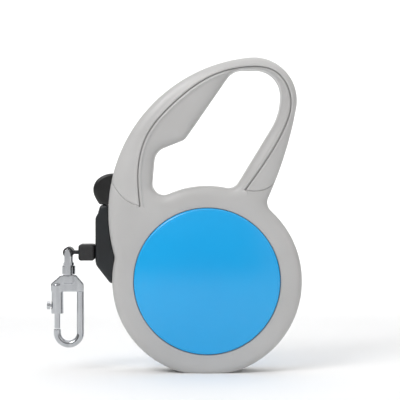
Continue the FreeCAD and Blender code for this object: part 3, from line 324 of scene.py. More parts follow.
def outer_outline():
    """The frame's silhouette, clockwise from the front junction over the loop and round the casing."""
    reach = CASING_RADIUS + CORNER_ROUND
    front = circles_meet(HUB, reach, FRONT_CENTRE, FRONT_RADIUS + CORNER_ROUND, 1)
    back = circles_meet(HUB, reach, BACK_CENTRE, BACK_RADIUS + CORNER_ROUND, -1)
    points = arc(front, CORNER_ROUND, bearing(front, HUB), bearing(front, FRONT_CENTRE), 0.5)
    points += arc(FRONT_CENTRE, FRONT_RADIUS, bearing(FRONT_CENTRE, front) % 360, FRONT_TANGENT)[1:]
    points += arc(TOP_CENTRE, TOP_RADIUS, FRONT_TANGENT, BACK_TANGENT)[1:]
    points += arc(BACK_CENTRE, BACK_RADIUS, BACK_TANGENT, bearing(BACK_CENTRE, back))[1:]
    start = bearing(back, BACK_CENTRE)
    end = bearing(back, HUB)
    points += arc(back, CORNER_ROUND, start % 360, end % 360, 0.5)[1:]
    points += arc(HUB, CASING_RADIUS, bearing(HUB, back), bearing(HUB, front) - 360)[1:-1]
    return np.array(points)


# each corner of the hand opening as x, z and radius
OPENING_CORNERS = [
    (-27.0, 66.8, 8.0), (-11.5, 73.0, 5.0), (13.5, 109.1, 10.0), (38.5, 109.0, 13.0), (37.9, 86.0, 30.0)]
OPENING_FOOT_FRONT, OPENING_FOOT_BACK = (-30.1, 33.0), (9.55, 39.5)


def line_round(start, end, side):
    """Centre of the corner arc between a line of the opening and the casing's top."""
    start, end = np.array(start), np.array(end)
    along = (end - start) / np.linalg.norm(end - start)
    across = np.array([-along[1], along[0]]) * side
    base = start + across * CORNER_ROUND
    half = base @ along
    reach = CASING_RADIUS + CORNER_ROUND
    run = -half + math.sqrt(half**2 - base @ base + reach**2)
    centre = base + along * run
    return centre, centre - across * CORNER_ROUND


def opening_outline():
    """The hand opening, clockwise from its lower front corner."""
    front, front_foot = line_round(OPENING_FOOT_FRONT, OPENING_CORNERS[0][:2], -1)
    back, back_foot = line_round(OPENING_FOOT_BACK, OPENING_CORNERS[-1][:2], 1)
    points = arc(front, CORNER_ROUND, bearing(front, HUB) % 360, bearing(front, front_foot), 0.5)
    corners = [tuple(front_foot)] + OPENING_CORNERS + [tuple(back_foot)]
    for before, corner, after in zip(corners, corners[1:], corners[2:]):
        at = np.array(corner[:2])
        to_before = np.array(before[:2]) - at
        to_after = np.array(after[:2]) - at
        to_before /= np.linalg.norm(to_before)
        to_after /= np.linalg.norm(to_after)
        half = math.acos(np.clip(to_before @ to_after, -1, 1)) / 2
        inwards = (to_before + to_after) / np.linalg.norm(to_before + to_after)
        centre = at + inwards * corner[2] / math.sin(half)
        run = corner[2] / math.tan(half)
        start = bearing(centre, at + to_before * run)
        end = bearing(centre, at + to_after * run)
        turn = (end - start + 180) % 360 - 180
        points += arc(centre, corner[2], start, start + turn, 0.7)
    start = bearing(back, back_foot)
    turn = (bearing(back, HUB) - start + 180) % 360 - 180
    points += arc(back, CORNER_ROUND, start, start + turn, 0.5)
    points += arc(HUB, CASING_RADIUS, bearing(HUB, back), bearing(HUB, front))[1:-1]
    return evenly(np.array(points + points[:1]), 0.8)[:-1]


def evenly(points, step):
    """The same line with its points about step apart."""
    lengths = np.r_[0, np.cumsum(np.linalg.norm(np.diff(points, axis=0), axis=1))]
    places = np.linspace(0, lengths[-1], max(2, int(round(lengths[-1] / step)) + 1))
    return np.column_stack([np.interp(places, lengths, points[:, i]) for i in (0, 1)])


def through(points, step=0.6):
    """A smooth line through the given points: a natural cubic spline on the length along it."""
    points = np.array(points, float)
    t = np.r_[0, np.cumsum(np.linalg.norm(np.diff(points, axis=0), axis=1))]
    h = np.diff(t)
    count = len(points)
    system = np.eye(count)
    right = np.zeros((count, 2))
    for i in range(1, count - 1):
        system[i, i - 1 : i + 2] = h[i - 1], 2 * (h[i - 1] + h[i]), h[i]
        right[i] = 6 * ((points[i + 1] - points[i]) / h[i] - (points[i] - points[i - 1]) / h[i - 1])
    bend = np.linalg.solve(system, right)
    places = np.linspace(0, t[-1], 60 * count)
    i = np.clip(np.searchsorted(t, places, side="right") - 1, 0, count - 2)
    a = ((t[i + 1] - places) / h[i])[:, None]
    b = 1 - a
    step_squared = (h[i] ** 2)[:, None]
    fine = a * points[i] + b * points[i + 1]
    fine += ((a**3 - a) * bend[i] + (b**3 - b) * bend[i + 1]) * step_squared / 6
    return evenly(fine, step)


FRONT_SEAM = through([(-52.5, 58.0), (-48.3, 49.9), (-45.4, 45.6), (-41.4, 41.7), (-34.4, 38.7)], 0.5)
GROOVE = through([
    (-34.4, 38.7), (-35.4, 56.5), (-31.0, 74.5), (-18.0, 90.7), (3.0, 105.7), (20.0, 110.1),
    (35.0, 107.7), (42.8, 94.5), (38.8, 77.0), (29.0, 60.3), (19.6, 47.0)], 0.7)
BACK_SEAM = through([(19.6, 47.0), (26.0, 46.5), (30.1, 47.5), (33.4, 49.7), (37.5, 53.5)], 0.5)
OUTLINE = outer_outline()
OPENING = opening_outline()
BAND_GAP = 0.3


def beside(line, distance):
    """The line moved sideways, to its left, by a distance."""
    along = np.gradient(line, axis=0)
    along /= np.linalg.norm(along, axis=1)[:, None]
    return line + np.column_stack([-along[:, 1], along[:, 0]]) * distance


def crossing(line, ring):
    """Where an open line crosses a closed ring: index on the line, index on the ring, and the point."""
    for i in range(len(line) - 1):
        p, r = line[i], line[i + 1] - line[i]
        q, s = ring, np.roll(ring, -1, axis=0) - ring
        cross = r[0] * s[:, 1] - r[1] * s[:, 0]
        t = ((q[:, 0] - p[0]) * s[:, 1] - (q[:, 1] - p[1]) * s[:, 0]) / cross
        u = ((q[:, 0] - p[0]) * r[1] - (q[:, 1] - p[1]) * r[0]) / cross
        hit = np.where((t >= 0) & (t < 1) & (u >= 0) & (u < 1))[0]
        if len(hit):
            return i, int(hit[0]), p + r * t[hit[0]]
    raise RuntimeError("a seam misses the outline")


def distance_to(points, line, closed=False):
    """Distance of each point from a line of segments."""
    ends = np.roll(line, -1, axis=0) if closed else line[1:]
    starts = line if closed else line[:-1]
    run = ends - starts
    squared = np.maximum((run**2).sum(1), 1e-12)
    result = np.empty(len(points))
    for low in range(0, len(points), 2000):
        p = points[low : low + 2000, None, :]
        share = np.clip(((p - starts) * run).sum(2) / squared, 0, 1)
        gap = p - (starts + share[..., None] * run)
        result[low : low + 2000] = np.sqrt((gap**2).sum(2).min(1))
    return result


def inside(points, ring):
    """True for points inside a closed ring."""
    x, z = points[:, 0], points[:, 1]
    found = np.zeros(len(points), bool)
    for (x0, z0), (x1, z1) in zip(ring, np.roll(ring, -1, axis=0)):
        crosses = (z0 > z) != (z1 > z)
        with np.errstate(divide="ignore", invalid="ignore"):
            found ^= crosses & (x < (x1 - x0) * (z - z0) / (z1 - z0) + x0)
    return found


# ---------------------------------------------------------------- relief of the gray frame
# a point this near to a line counts as on it
ON_LINE = 1e-3
PARTING_INSET = 0.22
HALF_DEPTH = 12.0
WALL = 2.4
# heights above the axle between which the casing's section becomes the loop's, the side panel starts,
# and the panel's outer rim gives way to the band
LOOP_STARTS, LOOP_FULL = 18.0, 46.0
PANEL_STARTS, PANEL_FULL = 44.0, 58.0
RIM_FADES, RIM_GONE = 54.0, 58.0
NARROWEST_ROUND = 3.0
DISH_DEPTH, DISH_REACH = 1.3, 4.5
BAND_LIP_SHARE = 0.35
OUTER_DROP, CASING_DROP = 4.0, 3.6
OPENING_DROP = 3.6
BAND_ROUND, CASING_ROUND, OPENING_ROUND = 9.0, 4.6, 6.5
GROOVE_DEPTH, GROOVE_HALF = 0.60, 0.26
LIP_RISE, LIP_OFFSET, LIP_HALF = 0.55, 1.15, 0.55
SEAM_DEPTH, SEAM_HALF = 0.5, 0.20


def rounded_drop(distance, width, depth):
    """How far a quarter-ellipse rim lies below its crest."""
    share = np.clip(distance / width, 0, 1)
    return depth * (1 - np.sqrt(np.maximum(1 - (1 - share) ** 2, 0)))


def relief(points, on_band, detail=True):
    """Height of the frame's face above the parting plane."""
    z = points[:, 1]
    edge = distance_to(points, OUTLINE, True)
    opening = distance_to(points, OPENING, True)
    groove = distance_to(points, GROOVE)
    seam = np.minimum(distance_to(points, FRONT_SEAM), distance_to(points, BACK_SEAM))
    if on_band:
        width = np.clip(edge + groove, NARROWEST_ROUND, BAND_ROUND)
        height = HALF_DEPTH - rounded_drop(edge, width, OUTER_DROP)
    else:
        loop = smoothstep(z, LOOP_STARTS, LOOP_FULL)
        width = CASING_ROUND + (BAND_ROUND - CASING_ROUND) * loop
        depth = CASING_DROP + (OUTER_DROP - CASING_DROP) * loop
        height = HALF_DEPTH - rounded_drop(edge, width, depth) * (1 - smoothstep(z, RIM_FADES, RIM_GONE))
        panel = smoothstep(z, PANEL_STARTS, PANEL_FULL)
        room = opening + groove * panel + 20 * (1 - panel)
        height -= rounded_drop(opening, np.clip(room, NARROWEST_ROUND, OPENING_ROUND), OPENING_DROP)
        height -= DISH_DEPTH * panel * (1 - np.exp(-groove / DISH_REACH))
    if detail:
        rise = LIP_RISE * (BAND_LIP_SHARE if on_band else 1.0)
        height += rise * np.exp(-(((groove - LIP_OFFSET) / LIP_HALF) ** 2))
        height -= GROOVE_DEPTH * np.exp(-((groove / GROOVE_HALF) ** 2))
        height -= SEAM_DEPTH * np.exp(-((seam / SEAM_HALF) ** 2))
    return height


# distances from a line at which rows of points run beside it
EDGE_ROWS = (0.06, 0.25, 0.6, 1.1, 1.8, 2.8, 4.2, 6.0)
GROOVE_ROWS = (0.15, 0.3, 0.45, 0.6, 0.8, 1.0, 1.25, 1.6, 2.1, 2.8)
SEAM_ROWS = (0.09, 0.18, 0.28, 0.42)
GRID_STEP, GRID_RISE = 1.7, 1.5
# a grid point gives way to every row of points beside a line
BEYOND_ROWS = 7.0
# no point of a face lies closer than this to a line
NEAREST = 0.04


def scatter(ring, lines):
    """Points of the face: rows beside each edge and line, and a coarse grid between them."""
    rows = []
    for line, offsets in lines:
        for offset in offsets:
            for side in (-1, 1):
                moved = beside(line, side * offset)
                rows.append(np.column_stack([moved, np.full(len(moved), offset)]))
    low, high = ring.min(0), ring.max(0)
    grid = []
    for k, z in enumerate(np.arange(low[1], high[1], GRID_RISE)):
        xs = np.arange(low[0] + (k % 2) * GRID_STEP / 2, high[0], GRID_STEP)
        grid.append(np.column_stack([xs, np.full(len(xs), z), np.full(len(xs), BEYOND_ROWS)]))
    return np.vstack(rows + grid)


def face_points(ring, hole):
    """All points inside one piece's outline, none crowding an edge."""
    closed_outline = np.vstack([OUTLINE, OUTLINE[:1]])
    closed_opening = np.vstack([OPENING, OPENING[:1]])
    lines = [
        (closed_outline, EDGE_ROWS), (closed_opening, EDGE_ROWS),
        (GROOVE, GROOVE_ROWS), (FRONT_SEAM, SEAM_ROWS), (BACK_SEAM, SEAM_ROWS)]
    found = scatter(ring, lines)
    places, own = found[:, :2], found[:, 2]
    keep = inside(places, ring)
    if hole is not None:
        keep &= ~inside(places, hole)
    places, own = places[keep], own[keep]
    limits = [
        (distance_to(places, OUTLINE, True), EDGE_ROWS[-1]),
        (distance_to(places, OPENING, True), EDGE_ROWS[-1]),
        (distance_to(places, GROOVE), GROOVE_ROWS[-1]),
        (distance_to(places, FRONT_SEAM), SEAM_ROWS[-1]),
        (distance_to(places, BACK_SEAM), SEAM_ROWS[-1])]
    keep = np.ones(len(places), bool)
    for distance, reach in limits:
        crowded = distance < np.minimum(own, reach) - 0.02
        keep &= ~crowded
        keep &= distance > NEAREST
    places = places[keep]
    edge = distance_to(places, ring, True)
    if hole is not None:
        edge = np.minimum(edge, distance_to(places, hole, True))
    places = places[edge > NEAREST]
    cells, kept = set(), []
    for i, (x, z) in enumerate(places):
        cell = (round(x / (2 * NEAREST)), round(z / (2 * NEAREST)))
        if cell not in cells:
            cells.add(cell)
            kept.append(i)
    return places[kept]


def triangulate(ring, hole):
    """Points, triangles and boundary loops of a flat region."""
    rings = [ring] if hole is None else [ring, hole]
    boundary = np.vstack(rings)
    inner = face_points(ring, hole)
    points = [Vector(p) for p in np.vstack([boundary, inner])]
    edges, start = [], 0
    for loop in rings:
        count = len(loop)
        edges += [(start + i, start + (i + 1) % count) for i in range(count)]
        start += count
    flat, _, faces, origin, _, _ = delaunay_2d_cdt(points, edges, [], 0, 1e-5)
    flat = np.array([tuple(p) for p in flat])
    place_of = {}
    for new, sources in enumerate(origin):
        for source in sources:
            place_of[source] = new
    centres = np.array([flat[list(f)].mean(0) for f in faces])
    keep = inside(centres, ring)
    if hole is not None:
        keep &= ~inside(centres, hole)
    faces = [f for f, wanted in zip(faces, keep) if wanted]
    loops, start = [], 0
    for loop in rings:
        loops.append([place_of[start + i] for i in range(len(loop))])
        start += len(loop)
    return flat, faces, loops


def outwards(flat, faces):
    """Faces turned so that seen from the front they run one way."""
    turned = []
    for f in faces:
        a, b, c = (flat[i] for i in f[:3])
        area = (b[0] - a[0]) * (c[1] - a[1]) - (b[1] - a[1]) * (c[0] - a[0])
        turned.append(tuple(f) if area > 0 else tuple(reversed(f)))
    return turned


SLOPE_STEP, STEEPEST = 0.05, 8.0
# a rim's wall: a share of the face's height, a height above the middle, and how far inside it ends
RIM_SHOULDER, RIM_FOOT, RIM_INSIDE = 0.55, 0.3, 0.3
# a seam's wall: depth of its first row below the face, then of the rest below the smooth face
SEAM_LIP, SEAM_STRAIGHT, SEAM_CORNER, SEAM_FOOT = 0.25, 1.9, 2.1, 2.2
SEAM_FOOT_INSET = 0.3


def face_normals(flat, on_band):
    """Unit normals (x, height, z) of the smooth relief."""
    slope = np.column_stack([
        relief(flat + shift, on_band, False) - relief(flat - shift, on_band, False)
        for shift in (np.array([SLOPE_STEP, 0]), np.array([0, SLOPE_STEP]))
    ]) / (2 * SLOPE_STEP)
    steep = np.linalg.norm(slope, axis=1)
    slope *= (np.minimum(steep, STEEPEST) / np.maximum(steep, 1e-9))[:, None]
    normal = np.column_stack([-slope[:, 0], np.ones(len(flat)), -slope[:, 1]])
    return normal / np.linalg.norm(normal, axis=1)[:, None]


def ways_out(flat, loops, ring, hole):
    """For each boundary point: the way out of the piece, and whether it is on a rim, not a seam."""
    rims = {}
    for loop in loops:
        places = flat[loop]
        along = np.roll(places, -1, axis=0) - np.roll(places, 1, axis=0)
        across = np.column_stack([along[:, 1], -along[:, 0]])
        across /= np.maximum(np.linalg.norm(across, axis=1), 1e-9)[:, None]
        test = places + across * 0.02
        outside = ~inside(test, ring)
        if hole is not None:
            outside |= inside(test, hole)
        across[~outside] *= -1
        to_rim = np.minimum(distance_to(places, OUTLINE, True), distance_to(places, OPENING, True))
        on_rim = to_rim < ON_LINE
        # where a seam runs out at the silhouette, out is the silhouette's own way out
        for corner in (front_point, back_point):
            for k in np.flatnonzero(np.linalg.norm(places - corner, axis=1) < ON_LINE):
                closest = int(np.linalg.norm(OUTLINE - places[k], axis=1).argmin())
                run = OUTLINE[(closest + 1) % len(OUTLINE)] - OUTLINE[closest - 1]
                way = np.array([-run[1], run[0]]) / np.linalg.norm(run)
                across[k] = -way if inside((places[k] + way * 0.3)[None], OUTLINE)[0] else way
        for k, index in enumerate(loop):
            rims[index] = (across[k], bool(on_rim[k]))
    return rims


def half_solid(ring, hole, on_band):
    """One half of a frame piece as a closed thin-walled solid, its face towards -Y, its rim at y = 0."""
    flat, faces, loops = triangulate(ring, hole)
    faces = outwards(flat, faces)
    height = relief(flat, on_band)
    smooth = relief(flat, on_band, detail=False)
    count = len(flat)
    points = [(x, -h, z) for (x, z), h in zip(flat, height)]
    rims = ways_out(flat, loops, ring, hole)
    inner = np.column_stack([flat[:, 0], smooth, flat[:, 1]]) - face_normals(flat, on_band) * WALL
    for index, ((nx, nz), on_rim) in rims.items():
        x, z = flat[index]
        if on_rim:
            inner[index] = (x - nx * WALL, smooth[index] - RIM_INSIDE, z - nz * WALL)
        else:
            inner[index] = (x, smooth[index] - WALL, z)
    points += [(x, -y, z) for x, y, z in inner]
    result = list(faces)
    result += [tuple(count + i for i in reversed(f)) for f in faces]

    # columns of points down the wall and back up inside it
    parting = 0.0 if on_band else PARTING_INSET
    columns = {}
    for loop in loops:
        for index in loop:
            (nx, nz), on_rim = rims[index]
            x, z = flat[index]
            top, level = height[index], smooth[index]
            if on_rim:
                rows = [
                    (x, top * RIM_SHOULDER, z), (x, RIM_FOOT, z),
                    (x - nx * parting, 0.0, z - nz * parting), (x - nx * WALL, 0.0, z - nz * WALL)]
            else:
                rows = [
                    (x, top - SEAM_LIP, z), (x, level - SEAM_STRAIGHT, z), (x, level - SEAM_CORNER, z),
                    (x - nx * SEAM_FOOT_INSET, level - SEAM_FOOT, z - nz * SEAM_FOOT_INSET)]
            first = len(points)
            points += [(px, -py, pz) for px, py, pz in rows]
            columns[index] = [index] + [first + k for k in range(4)] + [count + index]
    for loop in loops:
        for a, b in zip(loop, loop[1:] + loop[:1]):
            for k in range(5):
                # the band's two halves join here, so their walls have no land at the middle
                if on_band and k == 3 and rims[a][1] and rims[b][1]:
                    continue
                result.append((columns[a][k], columns[a][k + 1], columns[b][k + 1], columns[b][k]))
    return points, result


def solid_from(name, points, faces, material, mirrored=False, both=False):
    """An object from half-solid data: mirrored is its +Y side, both joins it to its mirror image."""
    points = np.array(points)
    points[:, 2] = np.maximum(points[:, 2], GROUND)
    if mirrored:
        points[:, 1] *= -1
    mesh = bpy.data.meshes.new(name)
    mesh.from_pydata(in_metres(points).tolist(), [], faces)
    work = bmesh.new()
    work.from_mesh(mesh)
    if both:
        copy = bmesh.ops.duplicate(work, geom=work.verts[:] + work.edges[:] + work.faces[:])
        for item in copy["geom"]:
            if isinstance(item, bmesh.types.BMVert):
                item.co.y *= -1
        mirrored_faces = [f for f in copy["geom"] if isinstance(f, bmesh.types.BMFace)]
        bmesh.ops.reverse_faces(work, faces=mirrored_faces)
        middle = [v for v in work.verts if abs(v.co.y) < 1e-7]
        bmesh.ops.remove_doubles(work, verts=middle, dist=1e-6)
    bmesh.ops.recalc_face_normals(work, faces=work.faces[:])
    work.to_mesh(mesh)
    work.free()
    mesh.materials.append(material)
    return add_object(name, mesh)


def finish_shading(made, degrees=38):
    made.data.shade_smooth()
    made.data.set_sharp_from_angle(angle=math.radians(degrees))


i_front, j_front, front_point = crossing(FRONT_SEAM, OUTLINE)
i_back, j_back, back_point = crossing(BACK_SEAM, OUTLINE)
front_seam = np.vstack([front_point, FRONT_SEAM[i_front + 1 :]])
back_seam = np.vstack([BACK_SEAM[: i_back + 1], back_point])
over_top = OUTLINE[j_front + 1 : j_back + 1]
round_casing = np.vstack([OUTLINE[j_back + 1 :], OUTLINE[: j_front + 1]])
SHELL_RING = np.vstack([front_seam, GROOVE[1:], back_seam[1:], round_casing])
outer_groove = beside(GROOVE, BAND_GAP)
BAND_RING = np.vstack([
    front_point, over_top, back_point, back_seam[::-1][1:-1], outer_groove[::-1],
    front_seam[::-1][1:-1]])

points, faces = half_solid(SHELL_RING, OPENING, False)
front_shell = solid_from("front_shell_moulding", points, faces, GRAY_ABS)
rear_shell = solid_from("rear_shell_moulding", points, faces, GRAY_ABS, mirrored=True)
points, faces = half_solid(BAND_RING, None, True)
grip_band = solid_from("grip_band_moulding", points, faces, GRIP_ABS, both=True)


# ---------------------------------------------------------------- openings cut through the mouldings
def prism(profile, low, high):
    """A closed cutter: the profile (x, z), in millimetres, from y = low to y = high."""
    mesh = bpy.data.meshes.new("cutter")
    count = len(profile)
    corners = [(x, low, z) for x, z in profile] + [(x, high, z) for x, z in profile]
    faces = [tuple(range(count)), tuple(range(2 * count - 1, count - 1, -1))]
    faces += [(i, (i + 1) % count, count + (i + 1) % count, count + i) for i in range(count)]
    mesh.from_pydata(in_metres(corners).tolist(), [], faces)
    return add_object("cutter", turned_outwards(mesh))


def rectangle(low_x, high_x, low_z, high_z):
    return [(low_x, low_z), (high_x, low_z), (high_x, high_z), (low_x, high_z)]


def disc(x, z, radius, count):
    turns = [2 * math.pi * (i + 0.5) / count for i in range(count)]
    return [(x + radius * math.cos(a), z + radius * math.sin(a)) for a in turns]


def cut(piece, cutters):
    """Takes the cutters out of the piece and removes them."""
    for cutter in cutters:
        modifier = piece.modifiers.new("cut", "BOOLEAN")
        modifier.operation = "DIFFERENCE"
        modifier.solver = "MANIFOLD"
        modifier.object = cutter
    apply_modifiers(piece)
    for cutter in cutters:
        bpy.data.objects.remove(cutter)


def box_of(node):
    """A CAD node's box, as two corners in millimetres from the axle."""
    low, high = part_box(node)
    shift = Vector((AXLE.x, 0.0, AXLE.z))
    return (low - shift) / MM, (high - shift) / MM


COVER_LOW, COVER_HIGH = box_of("front_cover")
COVER_GAP = 0.35
RECESS_RADIUS = (COVER_HIGH.x - COVER_LOW.x) / 2 + COVER_GAP
RECESS_FLOOR = 10.8
BUTTON_LOW, BUTTON_HIGH = box_of("thumb_button")
# the button's slot: half its width, its back edge, and its room below and above the button
SLOT_HALF, SLOT_BACK, SLOT_BELOW, SLOT_ABOVE = 7.9, -42.9, 0.4, 1.6
# the outlet's window: half its width, its back edge, and its foot and head
WINDOW_HALF, WINDOW_BACK, WINDOW_LOW, WINDOW_HIGH = 7.1, -43.0, 8.4, 28.6
# cutters end in front of, and beside, everything that is cut
FAR_FRONT, FAR_SIDE = -64.0, 20.0
SCREW_BORE, SCREW_CIRCLE, SCREW_SEAT = 2.9, 43.2, 9.5
SCREW_BEARINGS = (-55.0, -125.0, 25.0)
ARM_SCREWS = ((-16.7, 80.0), (23.5, 43.0))

for shell, side in ((front_shell, -1), (rear_shell, 1)):
    near, far = sorted((side * RECESS_FLOOR, side * FAR_SIDE))
    slot = rectangle(FAR_FRONT, SLOT_BACK, BUTTON_LOW.z - SLOT_BELOW, BUTTON_HIGH.z + SLOT_ABOVE)
    window = rectangle(FAR_FRONT, WINDOW_BACK, WINDOW_LOW, WINDOW_HIGH)
    cutters = [
        prism(disc(0, 0, RECESS_RADIUS, 220), near, far),
        prism(slot, -SLOT_HALF, SLOT_HALF),
        prism(window, -WINDOW_HALF, WINDOW_HALF)]
    if side == 1:
        bores = [
            (SCREW_CIRCLE * math.cos(math.radians(b)), SCREW_CIRCLE * math.sin(math.radians(b)))
            for b in SCREW_BEARINGS]
        bores += ARM_SCREWS
        cutters += [prism(disc(x, z, SCREW_BORE, 32), SCREW_SEAT, FAR_SIDE) for x, z in bores]
    cut(shell, cutters)

for shell, node, slot in (
        (front_shell, "front_shell", "gray_plastic"), (rear_shell, "rear_shell", "gray_plastic"),
        (grip_band, "grip_band", "grip_plastic")):
    finish_shading(shell, 38)
    stand_in(shell, "housing", node)


# ---------------------------------------------------------------- side covers
def lathe(name, profile, turns, material):
    """A closed turned piece about the reel's axis: the profile runs (radius, y) from axis to axis."""
    work = bmesh.new()
    rings = []
    for radius, y in profile:
        if radius < 1e-6:
            rings.append([work.verts.new((0.0, y, 0.0))])
            continue
        angles = [2 * math.pi * i / turns for i in range(turns)]
        rings.append([
            work.verts.new((radius * math.cos(a), y, radius * math.sin(a))) for a in angles])
    for low, high in zip(rings, rings[1:]):
        for i in range(turns):
            j = (i + 1) % turns
            corners = [low[i % len(low)], low[j % len(low)], high[j % len(high)], high[i % len(high)]]
            # at a pole two of the corners are one point
            work.faces.new(list(dict.fromkeys(corners)))
    bmesh.ops.recalc_face_normals(work, faces=work.faces[:])
    mesh = bpy.data.meshes.new(name)
    work.to_mesh(mesh)
    work.free()
    mesh.vertices.foreach_set(
        "co", in_metres([v.co for v in mesh.vertices]).astype(np.float32).ravel())
    mesh.materials.append(material)
    return add_object(name, mesh)


CROWN_RISE, CAP_EDGE_ROUND = 4.2, 1.3


def cover(name, side, low, high):
    """A domed cap: a crowned face, a rounded rim, a straight skirt and a hollow back."""
    crown = max(abs(low.y), abs(high.y))
    seat = min(abs(low.y), abs(high.y))
    radius = (high.x - low.x) / 2
    rim = crown - CROWN_RISE
    curve = (radius**2 + (crown - rim) ** 2) / (2 * (crown - rim))
    profile = [(0.0, crown)]
    for share in np.linspace(0.04, 1.0, 40):
        r = (radius - CAP_EDGE_ROUND) * share
        profile.append((r, crown - (curve - math.sqrt(curve**2 - r**2))))
    start_r, start_y = profile[-1]
    lean = math.asin(start_r / curve)
    for turn in np.linspace(lean, math.pi / 2, 9)[1:]:
        profile.append((
            start_r + CAP_EDGE_ROUND * (math.sin(turn) - math.sin(lean)),
            start_y - CAP_EDGE_ROUND * (math.cos(lean) - math.cos(turn))))
    widest = max(p[0] for p in profile)
    profile = [(r * radius / widest, y) for r, y in profile]
    # down the skirt, across its foot, and back up inside it to the axis
    profile += [(radius, rim - 1.0), (radius - 0.15, seat + 0.2), (radius - 0.35, seat)]
    profile += [(radius - 2.0, seat), (radius - 2.1, seat + 0.1), (radius - 2.3, rim - 1.6)]
    profile.append((0.0, rim - 0.6))
    made = lathe(name, [(r, side * y) for r, y in profile], 160, BLUE_ABS)
    finish_shading(made, 40)
    return made


for name, node, side in (("front_cap", "front_cover", -1), ("rear_cap", "rear_cover", 1)):
    cap = cover(name, side, *box_of(node))
    stand_in(cap, "housing", node)


# ---------------------------------------------------------------- rounded mouldings and castings
def world_copy(node, name):
    """A joined-up copy of a CAD node's loose triangles, in the row frame."""
    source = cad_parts[node]
    work = bmesh.new()
    work.from_mesh(source.data)
    work.transform(source.matrix_world)
    bmesh.ops.remove_doubles(work, verts=work.verts[:], dist=2e-6)
    bmesh.ops.recalc_face_normals(work, faces=work.faces[:])
    mesh = bpy.data.meshes.new(name)
    work.to_mesh(mesh)
    work.free()
    return add_object(name, mesh)


def softened(node, name, voxel_mm, passes, material, body):
    """The CAD node with its sharp corners rolled over as moulding and tumbling leave them."""
    made = world_copy(node, name)
    remesh = made.modifiers.new("even", "REMESH")
    remesh.mode = "VOXEL"
    remesh.voxel_size = voxel_mm * MM
    smooth = made.modifiers.new("smooth", "SMOOTH")
    smooth.factor = 0.5
    smooth.iterations = passes
    apply_modifiers(made)
    made.data.materials.clear()
    made.data.materials.append(material)
    made.data.shade_smooth()
    stand_in(made, body, node)
    return made


def follow_front(piece, profile, fixed_x):
    """Carries a piece's front edge to the styled line: profile is (z, x), the side at fixed_x stays."""
    mesh = piece.data
    places = np.empty(len(mesh.vertices) * 3, np.float32)
    mesh.vertices.foreach_get("co", places)
    places = places.reshape(-1, 3)
    x = (places[:, 0] - AXLE.x) / MM
    z = (places[:, 2] - AXLE.z) / MM
    levels = np.arange(profile[0][0], z.max() + LEVEL_STEP, LEVEL_STEP)
    fronts = np.array([x[np.abs(z - level) < LEVEL_REACH].min() for level in levels])
    wanted = np.interp(levels, [p[0] for p in profile], [p[1] for p in profile])
    move = np.interp(z, levels, np.minimum(wanted - fronts, 0.0), left=0.0)
    share = np.clip((x - fixed_x) / (np.interp(z, levels, fronts) - fixed_x), 0.0, 1.0)
    places[:, 0] += (move * share * MM).astype(np.float32)
    # the raised top puts dark plastic where the gap under the button shows only shade
    top = z.max()
    places[:, 2] += (smoothstep(z, top - TOP_BLEND, top) * TOP_REACH * MM).astype(np.float32)
    mesh.vertices.foreach_set("co", places.ravel())
    mesh.update()


# how far the outlet's top reaches up to the button, over the last TOP_BLEND of its height: the dark
# outlet fills most of the gap under the button, standing in for the shade in that gap
TOP_REACH, TOP_BLEND = 0.4, 2.0
LEVEL_STEP, LEVEL_REACH = 0.5, 0.6
# the outlet's upper flank, as height and front edge: it runs up to the button's waist, so that the two
# read as one black line
FLANK = [(27.0, -57.75), (31.0, -57.5), (34.5, -56.9), (37.5, -56.0), (40.0, -55.2)]
FLANK_FOOT = -46.0

softened("thumb_button", "thumb_button_moulding", 0.28, 26, BLACK_ABS, "button")
nozzle = softened("nozzle", "nozzle_moulding", 0.3, 12, NAVY_ABS, "housing")
follow_front(nozzle, FLANK, FLANK_FOOT)
softened("stop_sleeve", "stop_sleeve_moulding", 0.22, 6, RUBBER, "tape")
softened("swivel_eye", "swivel_eye_casting", 0.2, 4, CHROME, "eye")
softened("hook_body", "hook_body_casting", 0.24, 5, CHROME, "hook")


# ---------------------------------------------------------------- drawn tape
def drawn_tape():
    """The tape between the outlet and the stop sleeve, short as it is at rest."""
    width, thickness, rows = 9.9, 0.76, 60
    start, end = -57.3, -58.6
    level = (middle_of("tape_end").z - AXLE.z) / MM
    edge = thickness / 2
    section = []
    for side, turn in ((1, 0), (-1, 180)):
        for a in np.radians(np.arange(-60, 61, 30) + turn):
            section.append((side * (width / 2 - edge) + edge * math.cos(a), edge * math.sin(a)))
    count = len(section)
    corners, faces = [], []
    for row in range(rows):
        x = start + (end - start) * row / (rows - 1)
        corners += [(x, y, level + z) for y, z in section]
    for row in range(rows - 1):
        for i in range(count):
            j = (i + 1) % count
            here, there = row * count, (row + 1) * count
            faces.append((here + i, here + j, there + j, there + i))
    faces += [tuple(range(count)), tuple(range(rows * count - 1, (rows - 1) * count - 1, -1))]
    mesh = bpy.data.meshes.new("drawn_tape")
    mesh.from_pydata(in_metres(corners).tolist(), [], faces)
    mesh.materials.append(NYLON)
    made = add_object("drawn_tape", turned_outwards(mesh))
    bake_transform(made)


drawn_tape()


# ---------------------------------------------------------------- stitching
def socket_id(tree, name):
    return next(s.identifier for s in tree.interface.items_tree if s.name == name)


